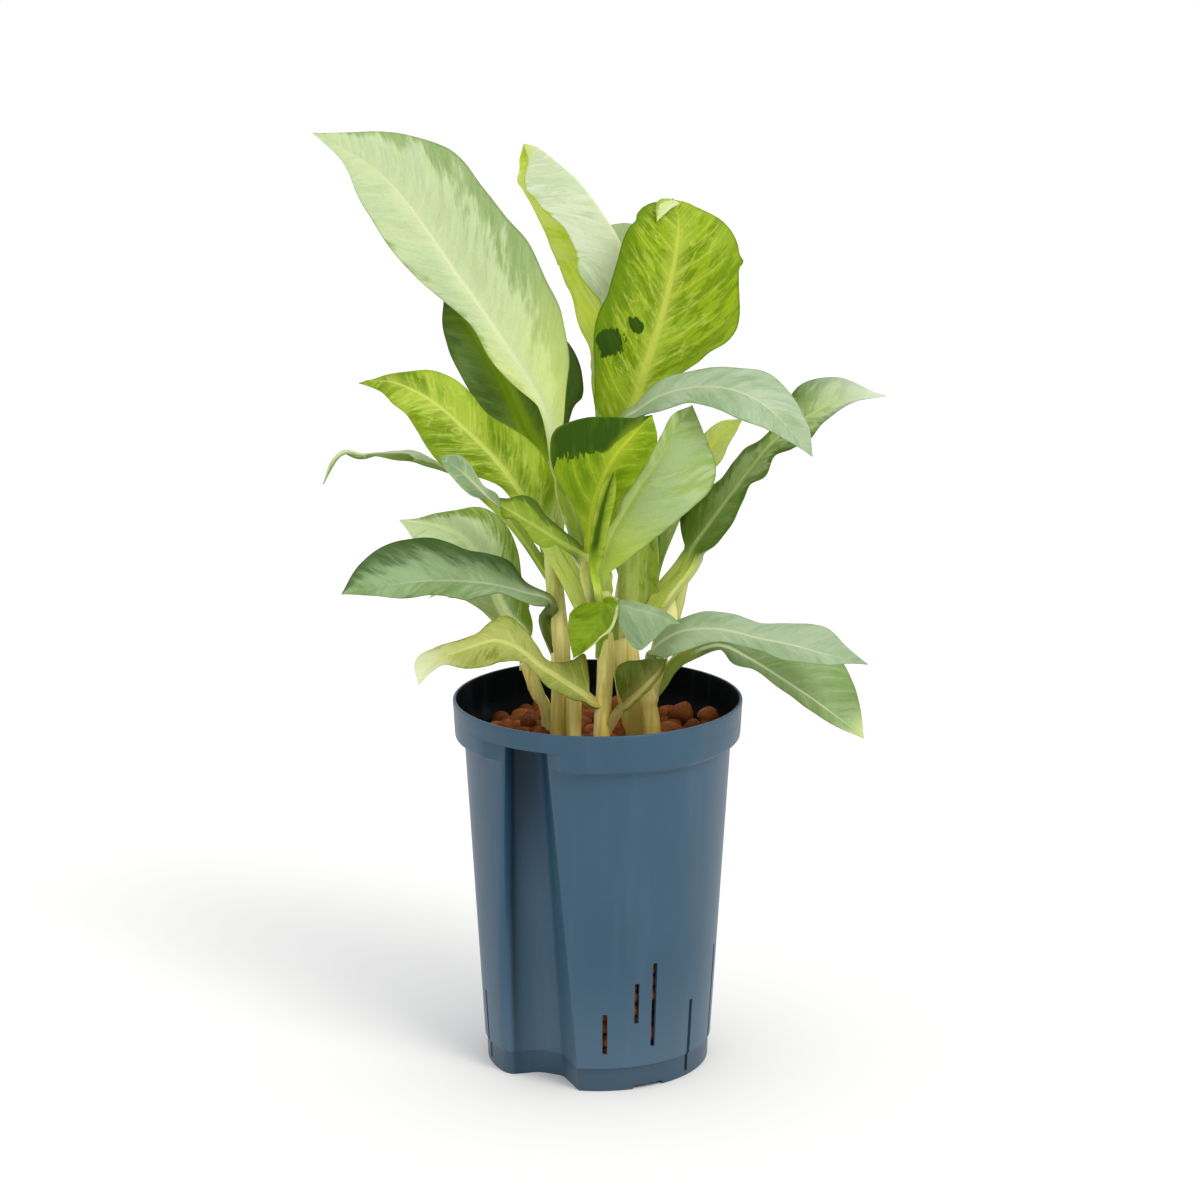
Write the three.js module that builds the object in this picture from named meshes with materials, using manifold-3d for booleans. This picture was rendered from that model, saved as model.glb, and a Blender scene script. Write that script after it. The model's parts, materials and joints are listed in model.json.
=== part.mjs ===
// A variegated aroid with lance-shaped leaves in a hydroculture pot filled with clay granules.
// Millimetres, +Z up. The origin is the centre of the pot's base, on the ground, and -Y is the front.
import * as THREE from 'three';
import { mergeVertices } from 'three/addons/utils/BufferGeometryUtils.js';
import Module from 'manifold-3d';

const wasm = await Module();
wasm.setup();

// Pot: a tapered wall with a plain band round the rim, a floor with holes, and slots low in the wall.
const potHeight = 195;
const rimRadius = 75;
const bandBottom = 175;
const bodyTopRadius = 69;
const bodyFootRadius = 59.5;
const skirtRadius = 58.4;
const skirtHeight = 13;
const wall = 1.9;
const floorTop = 8;
const hubRadius = 14;
const potSides = 46;
const slotWidth = 2.4;

// The gauge channel: a recess in the left front of the wall, from the base to just under the rim.
// Corners run from the left rounded edge over the back wall to the sharp right edge.
const channelTop = 185;
const channelAtFoot = [[-50.5, -31], [-44, -34], [-30, -30.5], [-18, -36], [-9, -58]];
const channelAtTop = [[-46.5, -51], [-43, -41], [-35, -41.5], [-27.5, -46], [-25.5, -64.5]];

// Granules: a fill that follows the pot's inside, with pebbles standing out of its top.
const fillTop = 174;
const fillGap = 0.5;
const pebbleSpacing = 15.5;
const pebbleRadius = [6, 8];
const clearance = 0.3;

// Leaves: thickness of the blade's edge, and the length of one cell along it.
const bladeThickness = 0.8;
const cellLength = 16;
const acrossBlade = [-1, -0.5, 0, 0.5, 1];

// Slots in the wall: angle to the right of the front in degrees, lower and upper end.
const slots = [
  [3.5, 21, 43], [19, 37, 59], [28, 23, 69], [52, 3, 43], [76, 14, 65],
  [100, 21, 43], [115, 37, 59], [125, 23, 69], [148, 3, 43], [176, 14, 65],
  [-155, 21, 43], [-140, 37, 59], [-125, 23, 69], [-98, 14, 65], [-73, 3, 41],
];
const footNotches = [27, 97, 167, 237];

// Canes: the points of the centre line with the radius at each.
const stems = [
  {
    name: 'stem_left', color: '#dccfa4',
    line: [[-20, -10, 110, 4.4], [-20, -10, 175, 4.6], [-19, -9, 205, 4.7], [-19, -9, 225, 4.9],
      [-21, -7, 244, 4.8], [-23, -3, 268, 4.4], [-25, 2, 290, 2.4]],
  },
  {
    name: 'stem_stub', color: '#e0cf9c',
    line: [[-12, -17, 112, 3.4], [-12, -17, 176, 3.8], [-12, -16.5, 200, 3.6]],
  },
  {
    name: 'stem_centre', color: '#cfd083',
    line: [[2, -25, 110, 3.9], [2, -25, 179, 4.1], [3, -24, 200, 4], [4, -21, 226, 4.4],
      [3, -18, 251, 4.8], [1, -15, 276, 2.4]],
  },
  {
    name: 'stem_back', color: '#e3d3ae',
    line: [[20, 2, 110, 5.2], [20, 2, 172, 6.4], [17, 2, 198, 7.2], [14, 2, 219, 7.2],
      [14, 3, 241, 6], [16, 6, 262, 4.8], [18, 8, 286, 2.4]],
  },
  {
    name: 'stem_right', color: '#ded095',
    line: [[28, -14, 110, 4.1], [28, -14, 176, 4.4], [26, -14, 194, 4.5], [26, -14, 198, 5.2],
      [27, -13, 202, 4.5], [31, -9, 217, 4.8], [37, -3, 239, 5.2], [42, 2, 260, 3.4]],
  },
  {
    name: 'stem_small', color: '#d9cf8f',
    line: [[-26, 4, 110, 2.8], [-26, 4, 180, 3.2], [-32, 6, 196, 3.1], [-38, 9, 212, 2.8]],
  },
];

// Leaves: path is the midrib from the stem through the stalk to the tip, stalk the part of it that
// is stalk, left and right the half widths at even steps of the blade, face the way its upper side
// looks, fold and curl the angles of the two halves, and wave the ripple of the margin.
const leaves = [
  {
    name: 'leaf_tall_left', stem: 'stem_left', color: '#b2d0a8',
    path: [[-26, 2, 280], [-21, 3, 306], [-24.1, 4, 337.2], [-32.9, 8, 357.2], [-45.6, 11, 376.1],
      [-58.5, 14, 395.3], [-71.8, 17, 413.5], [-85.9, 19, 434.1], [-100.6, 20, 453.8],
      [-117.8, 20, 469.7], [-143.4, 20, 483.9]],
    stalk: 0.19, stalkRadius: 3.2,
    left: [3, 2, 8.5, 11, 9.5, 13.5, 18.5, 21, 20, 16, 5.5, 0],
    right: [3, 11, 24.5, 33, 35.5, 39, 37, 36, 35, 24, 10.5, 0],
    face: [[0.3, -1, 0.2], [0.1, -1, 0.2], [0.1, -1, 0.3]],
    fold: [10, 5], curl: [-10, -10], wave: [1.5, 1.6, 0.1],
  },
  {
    name: 'leaf_dark_behind', stem: 'stem_left', color: '#4b7a45',
    path: [[-24, -1, 274], [-25, 12, 296], [-32.1, 18, 321.9], [-37.8, 20, 334], [-45.2, 22, 351.2],
      [-54.2, 25, 367.3], [-64, 28, 381.7], [-73, 30, 393], [-78.6, 30, 400.4]],
    stalk: 0.3, stalkRadius: 2.6,
    left: [3, 3, 9.5, 18, 18.5, 19, 18, 15.5, 10.5, 0],
    right: [3, 17, 32.5, 37.5, 39.5, 37.5, 33, 26.5, 14.5, 0],
    face: [[0.2, -1, 0.2], [0.2, -1, 0.4]],
    fold: [8, 8], curl: [-10, -10], wave: [1.5, 2, 0.2],
  },
  {
    name: 'leaf_folded_top', stem: 'stem_back', color: '#d3dcae',
    path: [[17, 5, 247], [9, 16, 272], [3, 20, 316], [-0.8, 20, 356.6], [3.2, 22, 377.8],
      [9, 24, 400.6], [11.4, 26, 423.3], [1.6, 28, 441.8], [-9.8, 29, 457.2], [-22.7, 28, 469],
      [-30.8, 27, 475.3], [-37.5, 25, 477.6]],
    stalk: 0.4, stalkRadius: 2.8,
    left: [3, 2, 6, 17, 24.5, 32, 34.5, 32.5, 30.5, 29, 26.5, 20.5, 0],
    right: [3, 4, 5, 2, 6.5, 21.5, 23, 23, 22, 23.5, 23, 18.5, 0],
    face: [[-0.3, -1, 0], [-0.9, -0.5, 0], [-1, -0.3, -0.2], [-1, -0.3, -0.2]],
    fold: [62, 84], curl: [-10, 6], wave: [1.5, 1.5, 0.3],
  },
  {
    name: 'leaf_pale_behind', stem: 'stem_back', color: '#bcd2b2',
    path: [[19, 5, 243], [16, 24, 280], [14, 34, 316], [7.4, 40, 377.9], [9, 44, 400.6],
      [11.5, 48, 416.6], [17.3, 50, 426.3], [27.9, 48, 433.2]],
    stalk: 0.42, stalkRadius: 2.6,
    left: [3, 4, 5, 6, 9, 11, 10, 6, 0], right: [3, 8, 14, 18, 18, 14, 10, 6, 0],
    face: [[0, -1, 0], [0, -1, 0.2]],
    fold: [10, 10], curl: [-10, -10], wave: [1, 2, 0],
  },
  {
    name: 'leaf_lime_right', stem: 'stem_back', color: '#8fb32c',
    path: [[23, 6, 258], [21, 9, 286], [19, 8, 316], [16.3, 5, 337], [20.3, 4, 353], [26.7, 3, 374.6],
      [33.1, 2, 396], [37.5, 2, 414.8], [39.7, 2, 428.5], [40.5, 4, 439.5], [39.9, 8, 447.1],
      [38.7, 12, 451.2]],
    stalk: 0.39, stalkRadius: 4.2,
    left: [3, 18.5, 22, 24, 26.5, 29, 31, 32, 31.5, 30, 30, 29.5, 29, 28.5, 27, 24, 20.5, 0],
    right: [3, 6.5, 7, 10, 13, 19, 24.5, 28.5, 35, 38, 37.5, 35.5, 33.5, 32, 30.5, 24.5, 11.5, 0],
    face: [[0.2, -1, 0], [0.05, -1, 0.05], [0, -1, 0.1]],
    fold: [8, 8], curl: [5, -10], wave: [2, 1.5, 0],
  },
  {
    name: 'leaf_grey_arch', stem: 'stem_back', color: '#8fae9c',
    path: [[22, 5, 252], [29, -3, 272], [27, -5, 296], [22, -5, 320], [11.7, -10, 340.3],
      [20.6, -14, 349.2], [30.4, -18, 356.4], [42.1, -24, 361.5], [53.7, -30, 363.9],
      [65.2, -36, 363.8], [76.8, -41, 360.4], [87.4, -45, 353.3], [97, -49, 343.2],
      [106.4, -51, 332.7]],
    stalk: 0.46, stalkRadius: 3.6,
    left: [3, 5.5, 10.5, 12.5, 14, 15.5, 16.5, 19, 18.5, 16, 13, 0],
    right: [3, 6, 10.5, 11.5, 12.5, 14.5, 16.5, 17, 15, 11, 5.5, 0],
    face: [[0.5, -1, 0], [-0.4, -0.6, 1], [0.1, -0.6, 0.8], [0.8, -0.6, 0.6]],
    fold: [10, 10], curl: [-20, -20], wave: [1, 2, 0],
  },
  {
    name: 'leaf_wavy_right', stem: 'stem_right', color: '#5d8a4f',
    path: [[27.5, -9, 244.1], [33.4, -7, 253.9], [43.1, -3, 265.4], [49.1, -2, 275.7], [56, -3, 285.7],
      [62.9, -4, 295.8], [70.8, -6, 307.3], [78, -8, 317.9], [86.4, -9, 328.9], [96.2, -9, 338.1],
      [107.1, -8, 345], [119.1, -6, 351], [133.1, -3, 354.7], [146.3, 0, 353.5]],
    stalk: 0.2, stalkRadius: 4.6,
    left: [3, 22.5, 20, 16, 11.5, 13.5, 12, 6, 8, 14.5, 18.5, 18.5, 14.5, 3, 0],
    right: [3, 10.5, 15, 16, 9.5, 7.5, 14, 7, 13, 16.5, 9.5, 7, 5.5, 3.5, 0],
    face: [[-0.7, -0.6, 0.4], [-0.7, -0.5, 0.5], [-0.2, -0.6, 0.8]],
    fold: [10, 10], curl: [-10, -15], wave: [1.5, 4.5, 0],
  },
  {
    name: 'leaf_young_right', stem: 'stem_back', color: '#bccb62',
    path: [[21, 4, 238], [24.5, 6, 245.7], [27.4, 8, 260.1], [31.7, 9, 273.7], [46.2, 12, 307.1],
      [56.3, 16, 319.6], [63.4, 20, 329.1], [74.6, 24, 336.6]],
    stalk: 0.62, stalkRadius: 5,
    left: [3, 6, 8, 7, 5, 0], right: [3, 6, 8, 7, 5, 0],
    face: [[0, -1, 0.3], [0, -1, 0.5]],
    fold: [15, 15], curl: [-20, -20], wave: [0, 1, 0],
  },
  {
    name: 'leaf_centre', stem: 'stem_centre', color: '#98bd82',
    path: [[3, -18, 250], [0.8, -24, 259.8], [1.4, -29, 269.3], [4.7, -33, 282.5], [11.6, -35, 297.1],
      [20.4, -37, 312.7], [30.2, -37, 327.7], [39, -33, 341.9], [47.4, -26, 353.5]],
    stalk: 0.17, stalkRadius: 4.2,
    left: [3.5, 2, 2, 2, 4.5, 4, 4, 5, 5.5, 6, 0],
    right: [3.5, 11, 15, 19, 22.5, 25.5, 28, 30, 25.5, 13.5, 0],
    face: [[0.2, -1, 0], [-0.1, -1, 0.1], [-0.1, -1, 0.3]],
    fold: [35, 5], curl: [-20, -10], wave: [1, 1.5, 0.2],
  },
  {
    name: 'leaf_bent_front', stem: 'stem_centre', color: '#93b834',
    path: [[1, -16, 262], [-3.4, -30, 277.7], [-3.6, -37, 291.5], [-1.8, -43, 307], [2.7, -47, 320.9],
      [8.6, -49, 332.3], [15.4, -49, 340.6], [22.2, -47, 347.7], [27.1, -43, 351.9]],
    stalk: 0.2, stalkRadius: 3.2,
    left: [3, 2, 4, 7.5, 13.5, 23.5, 29.5, 32, 24, 15, 5.5, 0],
    right: [3, 5.5, 8, 11, 12.5, 13, 14.5, 15.5, 15, 13.5, 10.5, 0],
    face: [[0, -1, 0], [0, -1, 0.1], [0, -1, 0.3]],
    fold: [5, 10], curl: [-5, -10], wave: [1, 1, 0.2],
  },
  {
    name: 'leaf_lime_left', stem: 'stem_centre', color: '#a5c456',
    path: [[-5.2, -20, 244.4], [-10.5, -18, 257.6], [-19, -16, 272.7], [-25.1, -15, 283.2],
      [-34.1, -14, 297.4], [-39.7, -14, 307], [-46.4, -13, 316.6], [-53.9, -12, 325.5],
      [-61.8, -11, 333.4], [-70.7, -10, 341.7], [-80.6, -9, 350.2], [-91.6, -7, 356.9],
      [-105.6, -4, 361.4], [-120.8, 0, 359.8]],
    stalk: 0.27, stalkRadius: 4.6,
    left: [4, 2, 5.5, 7, 12.5, 20, 22, 20.5, 17, 13, 10.5, 5, 0],
    right: [4, 15, 18.5, 20.5, 19, 15.5, 13.5, 15.5, 16, 13, 6.5, 2, 0],
    face: [[0.4, -1, 0.2], [0.2, -1, 0.3], [0.1, -1, 0.4], [0, -1, 0.5]],
    fold: [8, 8], curl: [-10, -10], wave: [1, 2, 0.1],
  },
  {
    name: 'leaf_edge_on', stem: 'stem_left', color: '#a3bd84',
    path: [[-22, -5, 258], [-36, 4, 278], [-48, 8, 292], [-65, 10, 307], [-78, 8, 315], [-91, 6, 322],
      [-105, 4, 323], [-119, 2, 323], [-129, 1, 325], [-136, 0, 319], [-140, -2, 308]],
    stalk: 0.42, stalkRadius: 2.4,
    left: [2.5, 8, 12, 14, 12, 8, 0], right: [2.5, 8, 12, 14, 12, 8, 0],
    face: [[0.5, -0.5, 1], [0.1, 0.05, 1], [0, 0.1, 1], [-0.8, 0, 0.6]],
    fold: [5, 5], curl: [-30, -30], wave: [2, 1.5, 0.3],
  },
  {
    name: 'leaf_twisted', stem: 'stem_centre', color: '#7fa67e',
    path: [[3, -19, 244], [-2.5, -26, 262.5], [-4.7, -31, 275.4], [-16.9, -35, 284.5],
      [-28, -38, 292.4], [-37.3, -40, 298.6], [-48.4, -42, 306.2], [-54.7, -43, 311.4],
      [-61.9, -43, 318], [-68.3, -42, 323.4], [-74.6, -40, 327.4], [-78.6, -38, 329.9]],
    stalk: 0.3, stalkRadius: 3.4,
    left: [3, 2, 2, 8, 8, 4.5, 2.5, 7.5, 9, 2.5, 3.5, 6, 6, 0],
    right: [3, 5.5, 6.5, 8, 9.5, 13.5, 13, 6.5, 7, 8, 6.5, 5.5, 4, 0],
    face: [[0.4, -1, 0.3], [0.2, -0.8, 0.6], [0.1, -0.8, 0.6], [0, -0.7, 0.7], [0.1, -0.5, 0.85], [0.2, 0.6, 0.8], [0, 0.8, -0.1], [-0.1, 0.8, -0.5]],
    fold: [10, 10], curl: [-20, -20], wave: [1.5, 1.5, 0.1],
  },
  {
    name: 'leaf_rolled', stem: 'stem_centre', color: '#bdd08a',
    path: [[4, -21, 232], [-1.8, -34, 273.5], [-0.6, -43, 288.9], [2.1, -50, 304.5], [5.3, -54, 317.4],
      [8.7, -54, 326.8]],
    stalk: 0.3, stalkRadius: 2,
    left: [2, 2.7, 2.5, 3.5, 4, 4, 4, 0], right: [2, 2.7, 6, 6, 6, 6, 5, 0],
    face: [[0, -1, 0], [0, -1, 0]],
    fold: [35, 35], curl: [0, 0], wave: [0, 1, 0],
  },
  {
    name: 'leaf_back_left', stem: 'stem_small', color: '#a4c494',
    path: [[-37, 8, 207], [-38, 11, 223.8], [-45.1, 13, 231.8], [-50.2, 15, 239.7], [-54.3, 16, 249.9],
      [-59.3, 17, 260.2], [-66.3, 17, 271.7], [-73.4, 16, 278.2], [-83.4, 15, 282.4],
      [-93.4, 13, 284.7], [-101.8, 11, 286.2]],
    stalk: 0.14, stalkRadius: 2.6,
    left: [3, 4.5, 6.5, 12, 16, 17, 18.5, 20, 20, 16.5, 12.5, 0],
    right: [3, 12, 14.5, 15.5, 18, 21.5, 23, 22, 13, 7, 2, 0],
    face: [[0.5, -1, 0.2], [0.3, -0.9, 0.5], [0, -0.7, 0.8]],
    fold: [10, 10], curl: [-20, -20], wave: [1, 2, 0],
  },
  {
    name: 'leaf_silver_left', stem: 'stem_left', color: '#7ea582',
    path: [[-19, -9, 218], [-26.4, -13, 238.5], [-23.5, -17, 247.4], [-26.2, -20, 252.7],
      [-37.2, -21, 256], [-50.1, -21, 259.5], [-66.1, -22, 261.8], [-82, -23, 262.5],
      [-97.9, -24, 261.5], [-115.8, -25, 259.1], [-129.7, -26, 256.2]],
    stalk: 0.24, stalkRadius: 2.8,
    left: [3, 6.5, 5.5, 4, 7, 11.5, 10, 9, 9, 8, 5.5, 3, 0],
    right: [3, 4, 7, 15, 16.5, 17.5, 22, 25, 25, 23, 19, 11.5, 0],
    face: [[1, -1, 0.3], [0, -0.7, 0.7], [0, -0.75, 0.7], [0, -0.75, 0.65]],
    fold: [10, 10], curl: [-15, -15], wave: [1, 2, 0.2],
  },
  {
    name: 'leaf_low_left', stem: 'stem_centre', color: '#b3bd74',
    path: [[3, -24, 199], [-1.8, -29, 200.6], [-8.2, -33, 206.5], [-18.1, -39, 214.8],
      [-28, -44, 222.9], [-35.8, -48, 230.8], [-42.6, -51, 236.1], [-51.4, -54, 239.3],
      [-59.1, -57, 238.1], [-66.9, -59, 235.8], [-76.7, -61, 232.6], [-84.6, -62, 226.8],
      [-89.5, -63, 218.9]],
    stalk: 0.1, stalkRadius: 2.8,
    left: [3, 6.5, 7.5, 8, 5, 4.5, 8, 12, 15, 14, 10.5, 4, 2.5, 0],
    right: [3, 19.5, 12, 6.5, 4.5, 6.5, 10.5, 14, 7.5, 6.5, 6.5, 7.5, 8.5, 0],
    face: [[0.3, -0.8, 0.6], [0.1, -0.75, 0.65], [-0.4, -0.7, 0.7]],
    fold: [10, 15], curl: [-15, -15], wave: [1, 1.5, 0.3],
  },
  {
    name: 'leaf_front_nod', stem: 'stem_centre', color: '#7ea276',
    path: [[8, -20, 230], [8.1, -29, 248.5], [10.5, -34, 252.5], [15, -38, 252.9], [21.6, -41, 251.7],
      [28.1, -43, 250.3], [34.7, -45, 248.4], [41.7, -46, 245.7]],
    stalk: 0.24, stalkRadius: 2.6,
    left: [3, 3, 3, 3, 3.5, 3.5, 3.5, 3, 2, 0], right: [3, 5, 7, 9.5, 14.5, 19, 19.5, 13, 3, 0],
    face: [[0.3, -1, 0.2], [0, -0.8, 0.7], [0, -1, 0.4], [0, -1, 0.4]],
    fold: [5, -8], curl: [-10, -14], wave: [0, 1, 0],
  },
  {
    name: 'leaf_front_dome', stem: 'stem_centre', color: '#8fb04a',
    path: [[2, -24, 222], [2.8, -28, 246.9], [3.6, -33, 253.8], [2.3, -38, 249.5], [0.2, -42, 244.7],
      [-3.2, -45, 239.7], [-7.5, -47, 234.4], [-12.2, -47, 228.1]],
    stalk: 0.36, stalkRadius: 2.4,
    left: [3, 7, 8, 8, 7.5, 5, 4, 2.5, 0], right: [3, 11, 11.5, 15, 16, 15, 12.5, 7.5, 0],
    face: [[0.3, -1, 0.2], [0, -0.3, 1], [0, -1, 0.5], [0, -1, 0.5], [0, -1, 0.4]],
    fold: [-10, -5], curl: [-10, -16], wave: [0, 1, 0],
  },
  {
    name: 'leaf_low_right', stem: 'stem_right', color: '#8fb09b',
    path: [[30, -11, 211], [31, -21, 221], [27.7, -28, 227.5], [38.6, -34, 237.3], [50.3, -39, 241.5],
      [65, -44, 242], [80.7, -48, 239], [96.4, -51, 236.5], [114.1, -53, 232.1], [135.3, -54, 227.1]],
    stalk: 0.17, stalkRadius: 2.6,
    left: [3, 8.5, 10, 13.5, 13.5, 12, 12, 14, 18, 17.5, 8.5, 0],
    right: [3, 13, 17, 14.5, 11, 10, 10.5, 12.5, 10.5, 8, 3.5, 0],
    face: [[0.2, -1, 0.3], [-0.2, -0.5, 0.9], [0.05, -0.45, 0.9], [0.1, -0.45, 0.9]],
    fold: [12, 12], curl: [-20, -20], wave: [1, 1.5, 0.2],
  },
  {
    name: 'leaf_hanging_right', stem: 'stem_right', color: '#6f9c66',
    path: [[26, -14, 198], [32.1, -14, 205.3], [38.3, -13, 214.5], [45.9, -14, 220.7],
      [62.1, -17, 227.1], [78.1, -20, 220.6], [94.1, -24, 211.3], [110, -28, 201.4], [123.9, -33, 192],
      [135.4, -37, 183.5]],
    stalk: 0.27, stalkRadius: 3,
    left: [3, 2, 10, 16, 22.5, 26.5, 28.5, 21.5, 12, 0], right: [3, 2, 8, 5, 4.5, 5.5, 7, 7, 4, 0],
    face: [[-0.3, -1, 0.5], [0.2, -0.8, 0.6], [0.4, -0.8, 0.6]],
    fold: [10, 10], curl: [-15, -15], wave: [1.5, 2, 0.4],
  },
  {
    name: 'leaf_small_front', stem: 'stem_centre', color: '#6d7a3a',
    path: [[2, -25, 178], [10.4, -31, 195.2], [15.2, -34, 201], [20.8, -36, 207], [25.5, -37, 212.2],
      [30.2, -37, 217.5], [34.9, -37, 224.9]],
    stalk: 0.35, stalkRadius: 2.4,
    left: [2.5, 2.5, 11.5, 16.5, 17, 13, 9.5, 0], right: [2.4, 3, 3, 3, 3, 2.5, 2, 0],
    face: [[0.2, -1, 0.2], [0.2, -1, 0.2]],
    fold: [5, 5], curl: [-10, -10], wave: [0, 1, 0],
  },
  {
    name: 'leaf_rear_middle', stem: 'stem_back', color: '#7fa56f',
    path: [[18, 4, 236], [22, 18, 250], [25, 34, 266], [27, 56, 280], [28, 86, 283], [30, 118, 270]],
    stalk: 0.35, stalkRadius: 2.8,
    left: [3, 12, 18, 21, 18, 9, 0], right: [3, 12, 18, 21, 18, 9, 0],
    face: [[0, -1, 1], [0, -0.3, 1], [0, 0.4, 1]],
    fold: [12, 12], curl: [-20, -20], wave: [1.5, 2, 0.2],
  },
  {
    name: 'leaf_rear_left', stem: 'stem_left', color: '#86ac78',
    path: [[-21, -7, 242], [-24, 8, 258], [-31, 26, 288], [-39, 48, 314], [-47, 76, 324],
      [-54, 104, 314]],
    stalk: 0.4, stalkRadius: 2.6,
    left: [3, 10, 15, 17, 14, 7, 0], right: [3, 10, 15, 17, 14, 7, 0],
    face: [[0, -1, 1], [0, -0.5, 1], [0, 0.3, 1]],
    fold: [12, 12], curl: [-20, -20], wave: [1.5, 2, 0.6],
  },
  {
    name: 'leaf_rear_tall', stem: 'stem_left', color: '#a3c398',
    path: [[-23, -3, 266], [-20, 14, 284], [-22, 30, 318], [-33, 44, 358], [-46, 57, 395],
      [-57, 68, 424]],
    stalk: 0.36, stalkRadius: 2.6,
    left: [3, 11, 16, 18, 16, 8, 0], right: [3, 11, 16, 18, 16, 8, 0],
    face: [[0, 1, -0.3], [0.2, 1, 0.2], [0, 1, 0.5]],
    fold: [10, 10], curl: [-20, -20], wave: [1.5, 2, 0.4],
  },
  {
    name: 'leaf_rear_right', stem: 'stem_right', color: '#8db092',
    path: [[29, -11, 207], [39, 3, 213], [49, 18, 221], [65, 40, 221], [85, 64, 211], [101, 84, 196]],
    stalk: 0.3, stalkRadius: 2.5,
    left: [3, 11, 15, 17, 14, 7, 0], right: [3, 11, 15, 17, 14, 7, 0],
    face: [[-0.3, -0.3, 1], [0, 0, 1], [0.3, 0.3, 1]],
    fold: [12, 12], curl: [-20, -20], wave: [1.5, 2, 0.1],
  },
  {
    name: 'leaf_rear_low', stem: 'stem_small', color: '#9dba8b',
    path: [[-33, 6, 199], [-37, 20, 211], [-45, 36, 223], [-59, 55, 235], [-76, 74, 235],
      [-91, 92, 225]],
    stalk: 0.3, stalkRadius: 2.4,
    left: [3, 10, 15, 17, 14, 7, 0], right: [3, 10, 15, 17, 14, 7, 0],
    face: [[0.3, -0.3, 1], [0, 0, 1], [-0.3, 0.3, 1]],
    fold: [12, 12], curl: [-20, -20], wave: [1.5, 2, 0.7],
  },
];

const group = new THREE.Group();
const radians = Math.PI / 180;

function solidOf(geometry) {
  const plain = geometry.clone();
  plain.deleteAttribute('normal');
  plain.deleteAttribute('uv');
  const merged = mergeVertices(plain, 1e-4);
  return new wasm.Manifold(new wasm.Mesh({
    numProp: 3,
    vertProperties: new Float32Array(merged.attributes.position.array),
    triVerts: new Uint32Array(merged.index.array),
  }));
}

function geometryOf(solid) {
  const mesh = solid.getMesh();
  const geometry = new THREE.BufferGeometry();
  geometry.setAttribute('position', new THREE.BufferAttribute(new Float32Array(mesh.vertProperties), 3));
  geometry.setIndex(Array.from(mesh.triVerts));
  geometry.computeVertexNormals();
  return geometry;
}

// Adds one named mesh, keeping the largest body where a cut left a scrap.
function addPiece(name, solid, color, roughness) {
  const bodies = solid.decompose().sort((a, b) => b.volume() - a.volume());
  const material = new THREE.MeshStandardMaterial({ color, roughness, metalness: 0 });
  const mesh = new THREE.Mesh(geometryOf(bodies[0]), material);
  mesh.name = name;
  group.add(mesh);
}

// A closed body from rings of points: the rings are joined in order and the ends are capped by fans.
function ringBody(rings) {
  const count = rings[0].length;
  const positions = [];
  const index = [];
  for (const ring of rings) {
    for (const point of ring) positions.push(point.x, point.y, point.z);
  }
  for (let row = 0; row + 1 < rings.length; row += 1) {
    for (let i = 0; i < count; i += 1) {
      const a = row * count + i;
      const b = row * count + (i + 1) % count;
      index.push(a, b, b + count, a, b + count, a + count);
    }
  }
  const last = (rings.length - 1) * count;
  for (let i = 1; i + 1 < count; i += 1) {
    index.push(0, i + 1, i);
    index.push(last, last + i, last + i + 1);
  }
  const geometry = new THREE.BufferGeometry();
  geometry.setAttribute('position', new THREE.BufferAttribute(new Float32Array(positions), 3));
  geometry.setIndex(index);
  return geometry;
}

// Turns a profile of [radius, height] points round the Z axis.
function turned(profile, sides = potSides) {
  const geometry = new THREE.LatheGeometry(profile.map(([r, z]) => new THREE.Vector2(r, z)), sides);
  geometry.rotateX(Math.PI / 2);
  return solidOf(geometry);
}

// A block whose outline changes evenly from the lower polygon to the upper one, anticlockwise.
function tapered(lower, upper, bottom, top) {
  const ring = (outline, z) => outline.map(([x, y]) => new THREE.Vector3(x, y, z));
  return solidOf(ringBody([ring(lower, bottom), ring(upper, top)]));
}

// The channel's outline, moved into the pot by a distance, and closed well outside the wall.
function channelOutline(corners, inset) {
  const inner = corners.map(([x, y], i) => {
    const before = corners[Math.max(i - 1, 0)];
    const after = corners[Math.min(i + 1, corners.length - 1)];
    const along = new THREE.Vector2(after[0] - before[0], after[1] - before[1]).normalize();
    return [x - along.y * inset, y + along.x * inset];
  });
  const [firstX] = inner[0];
  const [lastX] = inner[inner.length - 1];
  return [[lastX, -100], ...inner.reverse(), [firstX - 25, inner[inner.length - 1][1]], [firstX - 25, -100]];
}

function channelBlock(inset, top) {
  const atFoot = channelOutline(channelAtFoot, inset);
  const atTop = channelOutline(channelAtTop, inset);
  const stretch = (top + 1) / (channelTop + 1);
  const atEnd = atFoot.map(([x, y], i) => [
    x + (atTop[i][0] - x) * stretch,
    y + (atTop[i][1] - y) * stretch,
  ]);
  return tapered(atFoot, atEnd, -1, top);
}

// The block that takes the band away over the channel, so that only a narrow strip of it is left.
function bandBlock(grow, top) {
  const outline = [[-25.5 + grow, -100], [-25.5 + grow, -40], [-57 - grow, -30], [-57 - grow, -100]];
  return tapered(outline, outline, bandBottom - 12, top);
}

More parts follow.
